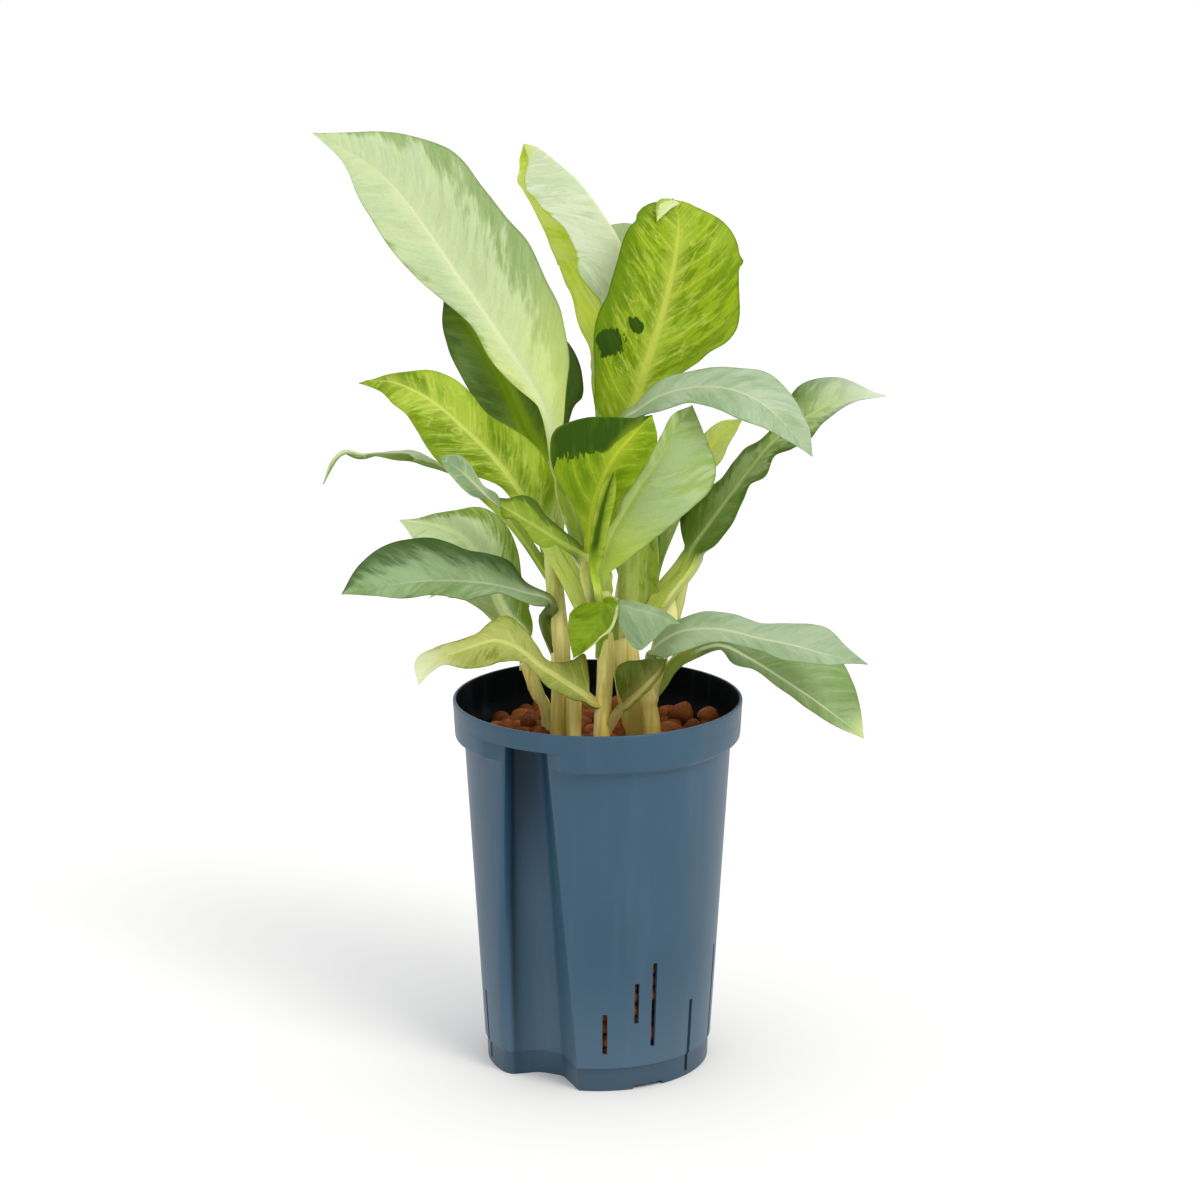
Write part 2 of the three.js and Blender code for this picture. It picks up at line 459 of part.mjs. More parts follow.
function insidePot(gap) {
  const body = turned([
    [0, floorTop], [bodyFootRadius - wall - gap - 1.2, floorTop],
    [bodyFootRadius - wall - gap, skirtHeight], [bodyTopRadius - wall - gap, bandBottom - 2],
    [bodyTopRadius - wall - gap + 0.4, channelTop + wall], [0, channelTop + wall],
  ]);
  const band = turned([
    [0, bandBottom - 2], [bodyTopRadius - wall - gap, bandBottom - 2],
    [rimRadius - 2.7 - gap, bandBottom + 3], [rimRadius - wall - gap, potHeight + 5],
    [0, potHeight + 5],
  ]);
  const channel = channelBlock(wall + gap, channelTop + wall + gap);
  return body.add(band.subtract(bandBlock(wall + gap, channelTop + wall + gap))).subtract(channel);
}

function makePot() {
  const body = turned([
    [0, 0], [hubRadius, 0], [hubRadius + 2, 4.5], [54, 4.5], [55.5, 0], [skirtRadius - 0.4, 0],
    [skirtRadius, skirtHeight - 1], [bodyFootRadius, skirtHeight],
    [bodyTopRadius, bandBottom - 3], [bodyTopRadius + 0.6, channelTop + 1], [0, channelTop + 1],
  ]);
  const band = turned([
    [0, bandBottom - 3], [bodyTopRadius - 0.2, bandBottom - 3], [rimRadius - 1.6, bandBottom + 0.5],
    [rimRadius - 1, bandBottom + 2], [rimRadius, potHeight - 0.8], [rimRadius - 0.7, potHeight],
    [0, potHeight],
  ]);
  let pot = body.add(band.subtract(bandBlock(0, channelTop)));
  pot = pot.subtract(channelBlock(0, channelTop)).subtract(insidePot(0));
  for (const [angle, low, high] of slots) {
    const box = new THREE.BoxGeometry(slotWidth, 14, high - low);
    box.translate(0, -60, (low + high) / 2);
    box.rotateZ(angle * radians);
    pot = pot.subtract(solidOf(box));
  }
  for (const angle of footNotches) {
    const box = new THREE.BoxGeometry(17, 14, 6);
    box.translate(0, -58, -0.8);
    box.rotateZ(angle * radians);
    pot = pot.subtract(solidOf(box));
  }
  for (let i = 0; i < 6; i += 1) {
    const hole = new THREE.CylinderGeometry(3, 3, 12, 10);
    hole.rotateX(Math.PI / 2);
    hole.translate(0, 33, 6);
    hole.rotateZ((i * 60 + 30) * radians);
    pot = pot.subtract(solidOf(hole));
  }
  return pot;
}

// A round cane along its centre line, its ends drawn in a little. grow widens it all over.
function makeStem(stem, grow = 0) {
  const sides = 10;
  const curve = new THREE.CatmullRomCurve3(
    stem.line.map(([x, y, z]) => new THREE.Vector3(x, y, z)), false, 'catmullrom', 0.5);
  const rows = stem.line.length * 2 - 1;
  const rings = [];
  const ring = (center, tangent, radius) => {
    const side = new THREE.Vector3(1, 0, 0).cross(tangent).normalize();
    const other = new THREE.Vector3().crossVectors(tangent, side);
    const points = [];
    for (let i = 0; i < sides; i += 1) {
      const angle = (2 * Math.PI * i) / sides;
      points.push(center.clone().addScaledVector(side, radius * Math.cos(angle))
        .addScaledVector(other, radius * Math.sin(angle)));
    }
    return points;
  };
  for (let row = 0; row < rows; row += 1) {
    const t = row / (rows - 1);
    const center = curve.getPoint(t);
    const tangent = curve.getTangent(t);
    const low = stem.line[Math.floor(row / 2)][3];
    const high = stem.line[Math.ceil(row / 2)][3];
    const radius = (low + high) / 2 + grow;
    if (row === 0) {
      rings.push(ring(center.clone().addScaledVector(tangent, -grow), tangent, radius * 0.7));
      rings.push(ring(center.clone().addScaledVector(tangent, 1.5 - grow), tangent, radius));
    } else if (row === rows - 1) {
      rings.push(ring(center.clone().addScaledVector(tangent, grow - 1.5), tangent, radius));
      rings.push(ring(center.clone().addScaledVector(tangent, grow), tangent, radius * 0.6));
    } else {
      rings.push(ring(center, tangent, radius));
    }
  }
  return solidOf(ringBody(rings));
}

// A value from a list at even steps, by a Catmull-Rom curve that runs straight out at both ends.
function smoothValue(list, at) {
  const place = at * (list.length - 1);
  const i = Math.min(Math.floor(place), list.length - 2);
  const f = place - i;
  const b = list[i];
  const c = list[i + 1];
  const a = i > 0 ? list[i - 1] : 2 * b - c;
  const d = i + 2 < list.length ? list[i + 2] : 2 * c - b;
  return 0.5 * (2 * b + (c - a) * f + (2 * a - 5 * b + 4 * c - d) * f ** 2
    + (3 * b - 3 * c + d - a) * f ** 3);
}

// The upper side's direction at t: the face vectors stand at the stem, the blade's base and on evenly.
function faceAt(leaf, t) {
  const units = leaf.face.map((v) => new THREE.Vector3(...v).normalize());
  const last = units.length - 1;
  const stops = units.map((_, i) => {
    if (last === 1 || i === 0) return i;
    return leaf.stalk + ((1 - leaf.stalk) * (i - 1)) / (last - 1);
  });
  let i = 0;
  while (i + 1 < last && t > stops[i + 1]) i += 1;
  const f = (t - stops[i]) / (stops[i + 1] - stops[i]);
  return units[i].clone().lerp(units[i + 1], f);
}

// One leaf as a closed body: cross sections follow the midrib, each an arc per half, with an upper
// row of points and a lower row one thickness under it. The stalk is a channel with a round back.
function makeLeaf(leaf, grow = 0) {
  const curve = new THREE.CatmullRomCurve3(
    leaf.path.map((p) => new THREE.Vector3(...p)), false, 'catmullrom', 0.5);
  curve.arcLengthDivisions = 400;
  const length = curve.getLength();
  const stalkRows = Math.max(2, Math.round((leaf.stalk * length) / cellLength));
  const bladeRows = Math.max(6, Math.round(((1 - leaf.stalk) * length) / cellLength) + 2);
  const places = [];
  for (let i = 0; i < stalkRows; i += 1) places.push((leaf.stalk * i) / stalkRows);
  for (let i = 0; i <= bladeRows; i += 1) {
    const even = i / bladeRows;
    const eased = even - 0.06 * Math.sin(2 * Math.PI * even);
    places.push(leaf.stalk + (1 - leaf.stalk) * eased);
  }
  const [amplitude, count, phase] = leaf.wave;
  const rings = places.map((t) => {
    const center = curve.getPointAt(t);
    const tangent = curve.getTangentAt(t);
    if (t === 0) center.addScaledVector(tangent, -grow);
    if (t === 1) center.addScaledVector(tangent, grow);
    const side = new THREE.Vector3().crossVectors(tangent, faceAt(leaf, t)).normalize();
    const up = new THREE.Vector3().crossVectors(side, tangent);
    const u = Math.max(0, (t - leaf.stalk) / (1 - leaf.stalk));
    const bloom = Math.min(1, u / 0.12);
    const stalk = leaf.stalkRadius * (1 - 0.8 * u);
    const upper = [];
    const lower = [];
    for (const v of acrossBlade) {
      const half = v < 0 ? 0 : 1;
      const profile = half === 0 ? leaf.left : leaf.right;
      const tip = Math.min(1, (1 - t) / 0.02);
      const width = Math.max(smoothValue(profile, u), stalk * tip, 0.5) + grow;
      const reach = Math.abs(v);
      const lean = leaf.fold[half] * radians * bloom;
      const bend = leaf.curl[half] * radians * bloom || 1e-3;
      const angle = lean + bend * reach;
      const out = ((Math.sin(angle) - Math.sin(lean)) / bend) * width;
      let rise = (-(Math.cos(angle) - Math.cos(lean)) / bend) * width;
      const ripple = Math.sin(2 * Math.PI * (count * u + phase + 0.37 * half));
      if (u > 0) rise += amplitude * Math.sin(Math.PI * Math.min(u, 1)) ** 0.7 * v * v * ripple;
      const sign = v < 0 ? -1 : 1;
      const normal = up.clone().multiplyScalar(Math.cos(angle))
        .addScaledVector(side, -sign * Math.sin(angle));
      const round = 1.9 * leaf.stalkRadius * Math.sqrt(1 - 0.8 * reach ** 2);
      const rib = bladeThickness + (reach === 0 ? 1.4 * (1 - u) ** 1.5 : 0.1);
      const thick = THREE.MathUtils.lerp(reach === 1 ? 1.2 : round, reach === 1 ? bladeThickness : rib,
        Math.min(1, u / 0.14));
      const top = center.clone().addScaledVector(side, sign * out).addScaledVector(up, rise);
      upper.push(top.clone().addScaledVector(normal, grow));
      lower.push(top.clone().addScaledVector(normal, -thick - grow));
    }
    return [...upper, ...lower.reverse()];
  });
  return solidOf(leafBody(rings));
}

// Joins the sections of a leaf. Both faces of a cell are split along the same diagonal, and the two
// ends are closed by strips between the upper and the lower row.
function leafBody(rings) {
  const count = rings[0].length;
  const columns = count / 2;
  const positions = [];
  const index = [];
  for (const ring of rings) {
    for (const point of ring) positions.push(point.x, point.y, point.z);
  }
  for (let row = 0; row + 1 < rings.length; row += 1) {
    for (let i = 0; i < count; i += 1) {
      const a = row * count + i;
      const b = row * count + (i + 1) % count;
      const c = a + count;
      const d = b + count;
      if (i < columns) index.push(a, d, c, a, b, d);
      else index.push(a, b, c, c, b, d);
    }
  }
  const last = (rings.length - 1) * count;
  for (let i = 0; i + 1 < columns; i += 1) {
    const under = count - 1 - i;
    index.push(i, under - 1, i + 1, i, under, under - 1);
    index.push(last + i, last + under - 1, last + under, last + i, last + i + 1, last + under - 1);
  }
  const geometry = new THREE.BufferGeometry();
  geometry.setAttribute('position', new THREE.BufferAttribute(new Float32Array(positions), 3));
  geometry.setIndex(index);
  return geometry;
}

// Even numbers between 0 and 1 from a seed, the same on every run.
function seeded(seed) {
  let state = seed;
  return () => {
    state = (state * 16807) % 2147483647;
    return state / 2147483647;
  };
}

// The clay fill: pebbles on a shaken triangular grid stand out of its top, round the canes.
function makeGranules(holes) {
  const random = seeded(4711);
  const inside = insidePot(fillGap);
  let fill = turned([[0, floorTop + fillGap], [90, floorTop + fillGap], [90, fillTop], [0, fillTop]], 24);
  const step = pebbleSpacing;
  for (let row = -6; row <= 6; row += 1) {
    for (let column = -6; column <= 6; column += 1) {
      const shake = () => (random() - 0.5) * 3;
      const x = (column + (row % 2 === 0 ? 0 : 0.5)) * step + shake();
      const y = row * step * 0.866 + shake();
      const size = pebbleRadius[0] + random() * (pebbleRadius[1] - pebbleRadius[0]);
      const height = fillTop + 0.5 + random() * 2.5;
      const turn = [random() * 6, random() * 6, random() * 6];
      const squash = 0.8 + 0.2 * random();
      if (Math.hypot(x, y) > bodyTopRadius - wall - fillGap - size) continue;
      const pebble = new THREE.IcosahedronGeometry(size, 0);
      pebble.scale(1, 1, squash);
      pebble.rotateX(turn[0]);
      pebble.rotateY(turn[1]);
      pebble.rotateZ(turn[2]);
      pebble.translate(x, y, height);
      fill = fill.add(solidOf(pebble));
    }
  }
  fill = fill.intersect(inside);
  for (const hole of holes) fill = fill.subtract(hole);
  return fill;
}

addPiece('pot', makePot(), '#48627a', 0.45);
addPiece('clay_granules', makeGranules(stems.map((stem) => makeStem(stem, clearance))), '#7d4a2c', 0.9);
for (const stem of stems) addPiece(stem.name, makeStem(stem), stem.color, 0.5);

// Each leaf is seated against every cane, and gives way to the leaves before it in the list.
const canes = stems.map((stem) => makeStem(stem, clearance));
const placed = [];
for (const leaf of leaves) {
  let solid = makeLeaf(leaf);
  for (const cane of canes) solid = solid.subtract(cane);
  for (const other of placed) solid = solid.subtract(other);
  addPiece(leaf.name, solid, leaf.color, 0.45);
  placed.push(makeLeaf(leaf, clearance));
}

export default group;
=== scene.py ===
# A potted aroid with silver, lime and dark green leaves on cream canes, in a slotted culture pot of
# clay granules. Tables are in millimetres; the origin is the centre of the pot's base, -Y is the front.
import json
import bpy
import bmesh
import numpy as np
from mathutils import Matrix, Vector


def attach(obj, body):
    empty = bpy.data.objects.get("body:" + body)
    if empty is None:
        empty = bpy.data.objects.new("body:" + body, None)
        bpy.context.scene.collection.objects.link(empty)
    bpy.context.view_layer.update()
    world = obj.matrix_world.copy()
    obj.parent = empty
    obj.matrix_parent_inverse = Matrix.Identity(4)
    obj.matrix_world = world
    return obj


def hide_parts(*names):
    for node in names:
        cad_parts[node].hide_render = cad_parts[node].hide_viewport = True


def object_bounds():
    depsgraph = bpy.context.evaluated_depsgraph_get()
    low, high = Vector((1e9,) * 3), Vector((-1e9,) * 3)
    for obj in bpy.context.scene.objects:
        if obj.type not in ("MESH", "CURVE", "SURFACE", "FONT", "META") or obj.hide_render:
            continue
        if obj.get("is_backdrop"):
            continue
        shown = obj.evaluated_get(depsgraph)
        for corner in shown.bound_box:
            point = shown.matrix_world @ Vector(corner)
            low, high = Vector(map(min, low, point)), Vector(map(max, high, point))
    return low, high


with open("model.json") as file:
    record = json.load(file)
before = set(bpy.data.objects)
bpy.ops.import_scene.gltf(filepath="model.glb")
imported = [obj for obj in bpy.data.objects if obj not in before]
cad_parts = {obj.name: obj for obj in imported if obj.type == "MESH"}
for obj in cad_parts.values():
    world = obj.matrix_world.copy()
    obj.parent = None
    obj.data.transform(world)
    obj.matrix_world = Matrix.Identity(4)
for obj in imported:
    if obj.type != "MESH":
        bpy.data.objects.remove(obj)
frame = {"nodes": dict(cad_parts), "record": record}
cadBox = [list(corner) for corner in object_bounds()]
print("frame loaded with", len(frame["nodes"]), "nodes")

mm = 0.001


def srgb(color, light=1.0):
    # Screen values 0..255 to linear light: ((c + 0.055) / 1.055) ^ 2.4, times a plain factor.
    c = np.array(color, float) / 255.0
    linear = np.where(c <= 0.04045, c / 12.92, ((c + 0.055) / 1.055) ** 2.4) * np.array(light)
    return (float(linear[0]), float(linear[1]), float(linear[2]), 1.0)


def unit(vectors):
    return vectors / np.maximum(np.linalg.norm(vectors, axis=-1, keepdims=True), 1e-9)


def smooth(x, low, high):
    # 0 below low, 1 above high, and 3x^2 - 2x^3 between.
    x = np.clip((x - low) / (high - low), 0, 1)
    return x * x * (3 - 2 * x)


def makePiece(name, points, quads, materials, paint=None, uv=None, marks=None, sharp=38):
    # A mesh from points in mm and quads. paint is the material of each quad, uv and marks one value
    # for each point; the marks become attributes that the materials read.
    mesh = bpy.data.meshes.new(name)
    mesh.from_pydata((points * mm).tolist(), [], quads if isinstance(quads, list) else quads.tolist())
    for material in materials:
        mesh.materials.append(material)
    if paint is not None:
        mesh.polygons.foreach_set("material_index", np.asarray(paint, np.int32))
    if uv is not None:
        layer = mesh.uv_layers.new(name="grown")
        layer.uv.foreach_set("vector", uv[quads.ravel()].astype(np.float32).ravel())
    for mark, values in (marks or {}).items():
        kind = "FLOAT_VECTOR" if values.ndim == 2 else "FLOAT"
        attribute = mesh.attributes.new(mark, kind, "POINT")
        attribute.data.foreach_set("vector" if values.ndim == 2 else "value",
                                   values.astype(np.float32).ravel())
    work = bmesh.new()
    work.from_mesh(mesh)
    bmesh.ops.remove_doubles(work, verts=work.verts, dist=1e-6)
    work.to_mesh(mesh)
    work.free()
    mesh.polygons.foreach_set("use_smooth", [True] * len(mesh.polygons))
    mesh.set_sharp_from_angle(angle=np.radians(sharp))
    piece = bpy.data.objects.new(name, mesh)
    bpy.context.scene.collection.objects.link(piece)
    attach(piece, "root")
    return piece


def gridQuads(rows, columns, start=0, around=False):
    # Quads of a grid of points; around joins the last column to the first.
    r, c = np.meshgrid(np.arange(rows - 1), np.arange(columns if around else columns - 1), indexing="ij")
    a = start + r * columns + c
    b = start + r * columns + (c + 1) % columns
    return np.stack([a, b, b + columns, a + columns], -1).reshape(-1, 4)


# ---- node wiring: short names for what the finishes use, all on the bench's node tree
bench = {"tree": None}


def newNode(kind):
    return bench["tree"].nodes.new("ShaderNode" + kind)


def wire(value, socket):
    if isinstance(value, bpy.types.NodeSocket):
        bench["tree"].links.new(value, socket)
    else:
        socket.default_value = value


def calc(operation, a, b=0.0, c=0.0):
    node = newNode("Math")
    node.operation = operation
    for value, socket in zip((a, b, c), node.inputs):
        wire(value, socket)
    return node.outputs[0]


def times(a, b):
    return calc("MULTIPLY", a, b)


def less(a, b):
    return calc("SUBTRACT", a, b)


def timesPlus(a, b, c):
    # a times b, plus c.
    return calc("MULTIPLY_ADD", a, b, c)


def sway(value, amount, rest):
    # The rest, moved by the amount times how far a noise is from its middle.
    return timesPlus(less(value, 0.5), amount, rest)


def step(value, low, high):
    # 0 below low and 1 above high, smooth between; low above high turns it round.
    node = newNode("MapRange")
    node.interpolation_type = "SMOOTHSTEP"
    flip = low > high
    wire(value, node.inputs["Value"])
    node.inputs["From Min"].default_value = min(low, high)
    node.inputs["From Max"].default_value = max(low, high)
    node.inputs["To Min"].default_value = 1.0 if flip else 0.0
    node.inputs["To Max"].default_value = 0.0 if flip else 1.0
    return node.outputs[0]


def blend(factor, a, b, mode="MIX"):
    node = newNode("Mix")
    node.data_type = "RGBA"
    node.blend_type = mode
    for value, index in ((factor, 0), (a, 6), (b, 7)):
        wire(value, node.inputs[index])
    return node.outputs[2]


def layered(color, layers):
    # Each layer over the one before: its mask, the mask's strength and its colour on screen.
    for mask, strength, tint in layers:
        color = blend(times(mask, strength), color, srgb(tint))
    return color


def vector(x, y, z=0.0):
    node = newNode("CombineXYZ")
    for value, socket in zip((x, y, z), node.inputs):
        wire(value, socket)
    return node.outputs[0]


def parts(value):
    node = newNode("SeparateXYZ")
    wire(value, node.inputs[0])
    return node.outputs[0], node.outputs[1], node.outputs[2]


def noise(place, scale, detail=3.0, rough=0.5, bent=0.0):
    node = newNode("TexNoise")
    settings = {"Vector": place, "Scale": scale, "Detail": detail, "Roughness": rough, "Distortion": bent}
    for key, value in settings.items():
        wire(value, node.inputs[key])
    return node.outputs["Fac"]


def attribute(name, output="Vector"):
    node = newNode("Attribute")
    node.attribute_name = name
    return node.outputs[output]


def objectPlace(stretch=(1, 1, 1)):
    mapping = newNode("Mapping")
    mapping.inputs["Scale"].default_value = stretch
    wire(newNode("TexCoord").outputs["Object"], mapping.inputs["Vector"])
    return mapping.outputs[0]


def newFinish(name, roughness=0.5, specular=0.5):
    material = bpy.data.materials.new(name)
    material.use_nodes = True
    bench["tree"] = material.node_tree
    shader = material.node_tree.nodes["Principled BSDF"]
    shader.inputs["Roughness"].default_value = roughness
    shader.inputs["Specular IOR Level"].default_value = specular
    return material, shader


def relief(shader, height, strength, distance):
    bump = newNode("Bump")
    bump.inputs["Strength"].default_value = strength
    bump.inputs["Distance"].default_value = distance
    wire(height, bump.inputs["Height"])
    wire(bump.outputs[0], shader.inputs["Normal"])


# ---- camera, light and floor
view = {"place": (1.2, -1800, 700), "aim": (1.2, 0, 246.5), "focalPixels": 3611, "framePixels": 1200}

camera = bpy.data.objects.new("camera", bpy.data.cameras.new("camera"))
bpy.context.scene.collection.objects.link(camera)
camera.location = Vector(view["place"]) * mm
camera.rotation_euler = (Vector(view["aim"]) - Vector(view["place"])).to_track_quat("-Z", "Y").to_euler()
camera.data.sensor_width = 36
camera.data.lens = 36 * view["focalPixels"] / view["framePixels"]
bpy.context.scene.camera = camera

studio = {
    "sky": 1.0, "sun": 1.25, "sunFrom": (0.55, -0.62, 0.86), "sunWidth": 26, "sunTint": (1.0, 0.97, 0.87),
    "floor": 0.87,
}

world = bpy.data.worlds.new("studioSky")
world.use_nodes = True
world.node_tree.nodes["Background"].inputs[0].default_value = (1.0, 1.0, 1.0, 1.0)
world.node_tree.nodes["Background"].inputs[1].default_value = studio["sky"]
bpy.context.scene.world = world
bpy.context.scene.view_settings.view_transform = "Standard"

sun = bpy.data.lights.new("softSun", "SUN")
sun.energy = studio["sun"]
sun.color = studio["sunTint"]
sun.angle = np.radians(studio["sunWidth"])
holder = bpy.data.objects.new("softSun", sun)
holder.rotation_euler = Vector(studio["sunFrom"]).to_track_quat("Z", "Y").to_euler()
bpy.context.scene.collection.objects.link(holder)

floorMesh = bpy.data.meshes.new("floor")
floorMesh.from_pydata([(-6, -6, 0), (6, -6, 0), (6, 6, 0), (-6, 6, 0)], [], [(0, 1, 2, 3)])
floor = bpy.data.objects.new("floor", floorMesh)
bpy.context.scene.collection.objects.link(floor)
floorFinish, floorShader = newFinish("studioPaper", 0.9, 0.1)
floorShader.inputs["Base Color"].default_value = (studio["floor"],) * 3 + (1.0,)
floorMesh.materials.append(floorFinish)
floor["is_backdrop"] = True
print("camera, lights and floor set")


# ---- leaves
leafGrid = {
    "stalkRows": 16, "bladeRows": 84, "columns": 33, "crowding": 1.25, "blade": 0.5, "edge": 0.3,
    "openBy": 0.12, "thinBy": 0.14, "groove": 0.5, "grooveWidth": 1.5, "rib": 1.3, "ribWidth": 1.8,
    "stalkDepth": 1.9, "veinSpacing": 11.0, "veinLean": 0.85, "veinBow": 0.08,
}
leafLight = (0.78, 0.79, 0.66)


def alongPath(points, places):
    # A Catmull-Rom curve through the points, running straight out at both ends, read at even arc
    # length: the points, the unit tangents and the length.
    p = np.array(points, float)
    p = np.vstack([2 * p[0] - p[1], p, 2 * p[-1] - p[-2]])
    spans = len(points) - 1

    def curve(t):
        i = np.clip(t.astype(int), 0, spans - 1)
        f = (t - i)[:, None]
        a, b, c, d = p[i], p[i + 1], p[i + 2], p[i + 3]
        square, cube = 2 * a - 5 * b + 4 * c - d, 3 * b - 3 * c + d - a
        here = 0.5 * (2 * b + (c - a) * f + square * f**2 + cube * f**3)
        return here, unit((c - a) + 2 * square * f + 3 * cube * f**2)

    fine = np.linspace(0, spans, 401)
    run = np.r_[0, np.cumsum(np.linalg.norm(np.diff(curve(fine)[0], axis=0), axis=1))]
    here, tangent = curve(np.interp(np.asarray(places) * run[-1], run, fine))
    return here, tangent, run[-1]


def smoothValue(values, at):
    # A value from a list at even steps, by a Catmull-Rom curve that runs straight out at both ends.
    v = np.array(values, float)
    v = np.r_[2 * v[0] - v[1], v, 2 * v[-1] - v[-2]]
    place = at * (len(values) - 1)
    i = np.clip(place.astype(int), 0, len(values) - 2)
    f = place - i
    a, b, c, d = v[i], v[i + 1], v[i + 2], v[i + 3]
    return 0.5 * (2 * b + (c - a) * f + (2 * a - 5 * b + 4 * c - d) * f**2 + (3 * b - 3 * c + d - a) * f**3)


def leafSurface(form, look):
    # t runs along the midrib and v across, -1 to 1. Each half is an arc that leaves the midrib at the
    # fold angle and bends by the curl angle; the margin ripples with v^2, the blade is quilted between
    # its side veins, the midrib is sunk above and stands out below. The lower face is the upper one
    # moved in by the thickness: a round-backed channel on the stalk, thin at the margin.
    stalk = form["stalk"]
    places = np.r_[
        np.linspace(0, stalk, leafGrid["stalkRows"], endpoint=False),
        stalk + (1 - stalk) * np.linspace(0, 1, leafGrid["bladeRows"] + 1),
    ]
    center, tangent, length = alongPath(form["path"], places)
    faces = unit(np.array(form["face"], float))
    knots = [0, 1] if len(faces) == 2 else [0, *np.linspace(stalk, 1, len(faces) - 1)]
    face = np.stack([np.interp(places, knots, faces[:, k]) for k in range(3)], 1)
    side = unit(np.cross(tangent, face))
    up = np.cross(side, tangent)

    w = np.linspace(-1, 1, leafGrid["columns"])
    v = (np.sign(w) * np.abs(w) ** leafGrid["crowding"])[None, :]
    t = places[:, None]
    u = np.clip((t - stalk) / (1 - stalk), 0, 1)
    right = v >= 0
    bloom = np.minimum(1, u / leafGrid["openBy"])
    stout = (look.get("stalkWide", 1) - 1) * smooth(t, 1.15 * stalk, 0.85 * stalk)
    rod = form["stalkRadius"] * (1 - 0.8 * u) * (1 + stout * smooth(t, 0.0, 0.3 * stalk))
    width = np.where(right, smoothValue(form["right"], u), smoothValue(form["left"], u))
    width = np.maximum(np.maximum(width, rod * np.minimum(1, (1 - t) / 0.02)), 0.3)
    if "blunt" in look:
        least, start = look["blunt"]
        rounded = least * np.sqrt(np.clip(1 - (np.clip(u - start, 0, 1) / (1 - start)) ** 2, 0, 1))
        width = np.where(~right & (u > start), np.maximum(width, rounded), width)
    for where, spread, amount, hand in look.get("wider", ()):
        width = width * (1 + amount * np.exp(-(((u - where) / spread) ** 2)) * (right == (hand > 0)))
    lean = np.radians(np.where(right, form["fold"][1], form["fold"][0])) * bloom
    bend = np.radians(np.where(right, form["curl"][1], form["curl"][0])) * bloom
    bend = np.where(np.abs(bend) < 1e-3, 1e-3, bend)
    reach = np.abs(v)
    angle = lean + bend * reach
    out = (np.sin(angle) - np.sin(lean)) / bend * width
    rise = -(np.cos(angle) - np.cos(lean)) / bend * width
    swell = np.sin(np.pi * u)
    amount, count, phase = form["wave"]
    rise = rise + amount * swell**0.7 * reach**2 * np.sin(2 * np.pi * (count * u + phase + 0.37 * right))
    amount, count, phase = look.get("ruffle", (0.35, 5, 0.2))
    rise = rise + amount * swell * reach**4 * np.sin(2 * np.pi * (count * u + phase + 0.23 * right))

    along = (t - stalk) * length + 0 * v
    across = reach * width
    vein = along - leafGrid["veinLean"] * across - leafGrid["veinBow"] / 10 * across**2
    vein = vein / look.get("spacing", leafGrid["veinSpacing"])
    flat = smooth(across, 1.5, 6) * smooth(reach, 1.0, 0.8) * swell**0.5
    rise = rise + look.get("quilt", 0.3) * flat * (0.5 - 0.5 * np.cos(2 * np.pi * vein))
    groove = np.exp(-((across / leafGrid["grooveWidth"]) ** 2))
    rise = rise - leafGrid["groove"] * bloom * (1 - u) ** 0.4 * groove

    sign = np.where(right, 1.0, -1.0)
    tilt = (angle * np.minimum(1, across / 2.5))[..., None]
    normal = up[:, None] * np.cos(tilt) - sign[..., None] * side[:, None] * np.sin(tilt)
    channel = leafGrid["stalkDepth"] * form["stalkRadius"] * np.sqrt(np.clip(1 - 0.93 * reach**2.4, 0, 1))
    blade = leafGrid["edge"] + (leafGrid["blade"] - leafGrid["edge"]) * smooth(1 - reach, 0, 0.2)
    blade = blade + leafGrid["rib"] * (1 - u) ** 1.3 * np.exp(-((across / leafGrid["ribWidth"]) ** 2))
    thick = channel + (blade - channel) * np.minimum(1, u / leafGrid["thinBy"])
    top = center[:, None] + side[:, None] * (sign * out)[..., None] + up[:, None] * rise[..., None]
    for where, spread, amount in look.get("lifted", ()):
        push = amount * np.exp(-(((u - where) / spread) ** 2)) * reach * ~right
        top = top + tangent[:, None] * push[..., None]
    bottom = top - normal * thick[..., None]
    uv = np.stack([(t - stalk) / (1 - stalk) + 0 * v, v + 0 * t], -1)
    cm = np.stack([along / 10, sign * across / 10], -1)
    return top, bottom, uv, cm


def leafBody(top):
    # Upper grid, lower grid turned over, strips along both margins and across both ends.
    rows, columns = top.shape[:2]
    under = rows * columns
    upper = gridQuads(rows, columns)
    lower = gridQuads(rows, columns, under)[:, ::-1]
    r = np.arange(rows - 1) * columns
    left = np.stack([r, r + columns, r + columns + under, r + under], 1)
    e = r + columns - 1
    right = np.stack([e, e + under, e + columns + under, e + columns], 1)
    c = np.arange(columns - 1)
    base = np.stack([c, c + under, c + 1 + under, c + 1], 1)
    f = c + (rows - 1) * columns
    tip = np.stack([f, f + 1, f + 1 + under, f + under], 1)
    quads = np.vstack([upper, left, right, base, tip, lower])
    paint = np.r_[np.zeros(len(quads) - len(lower)), np.ones(len(lower))]
    return quads, paint


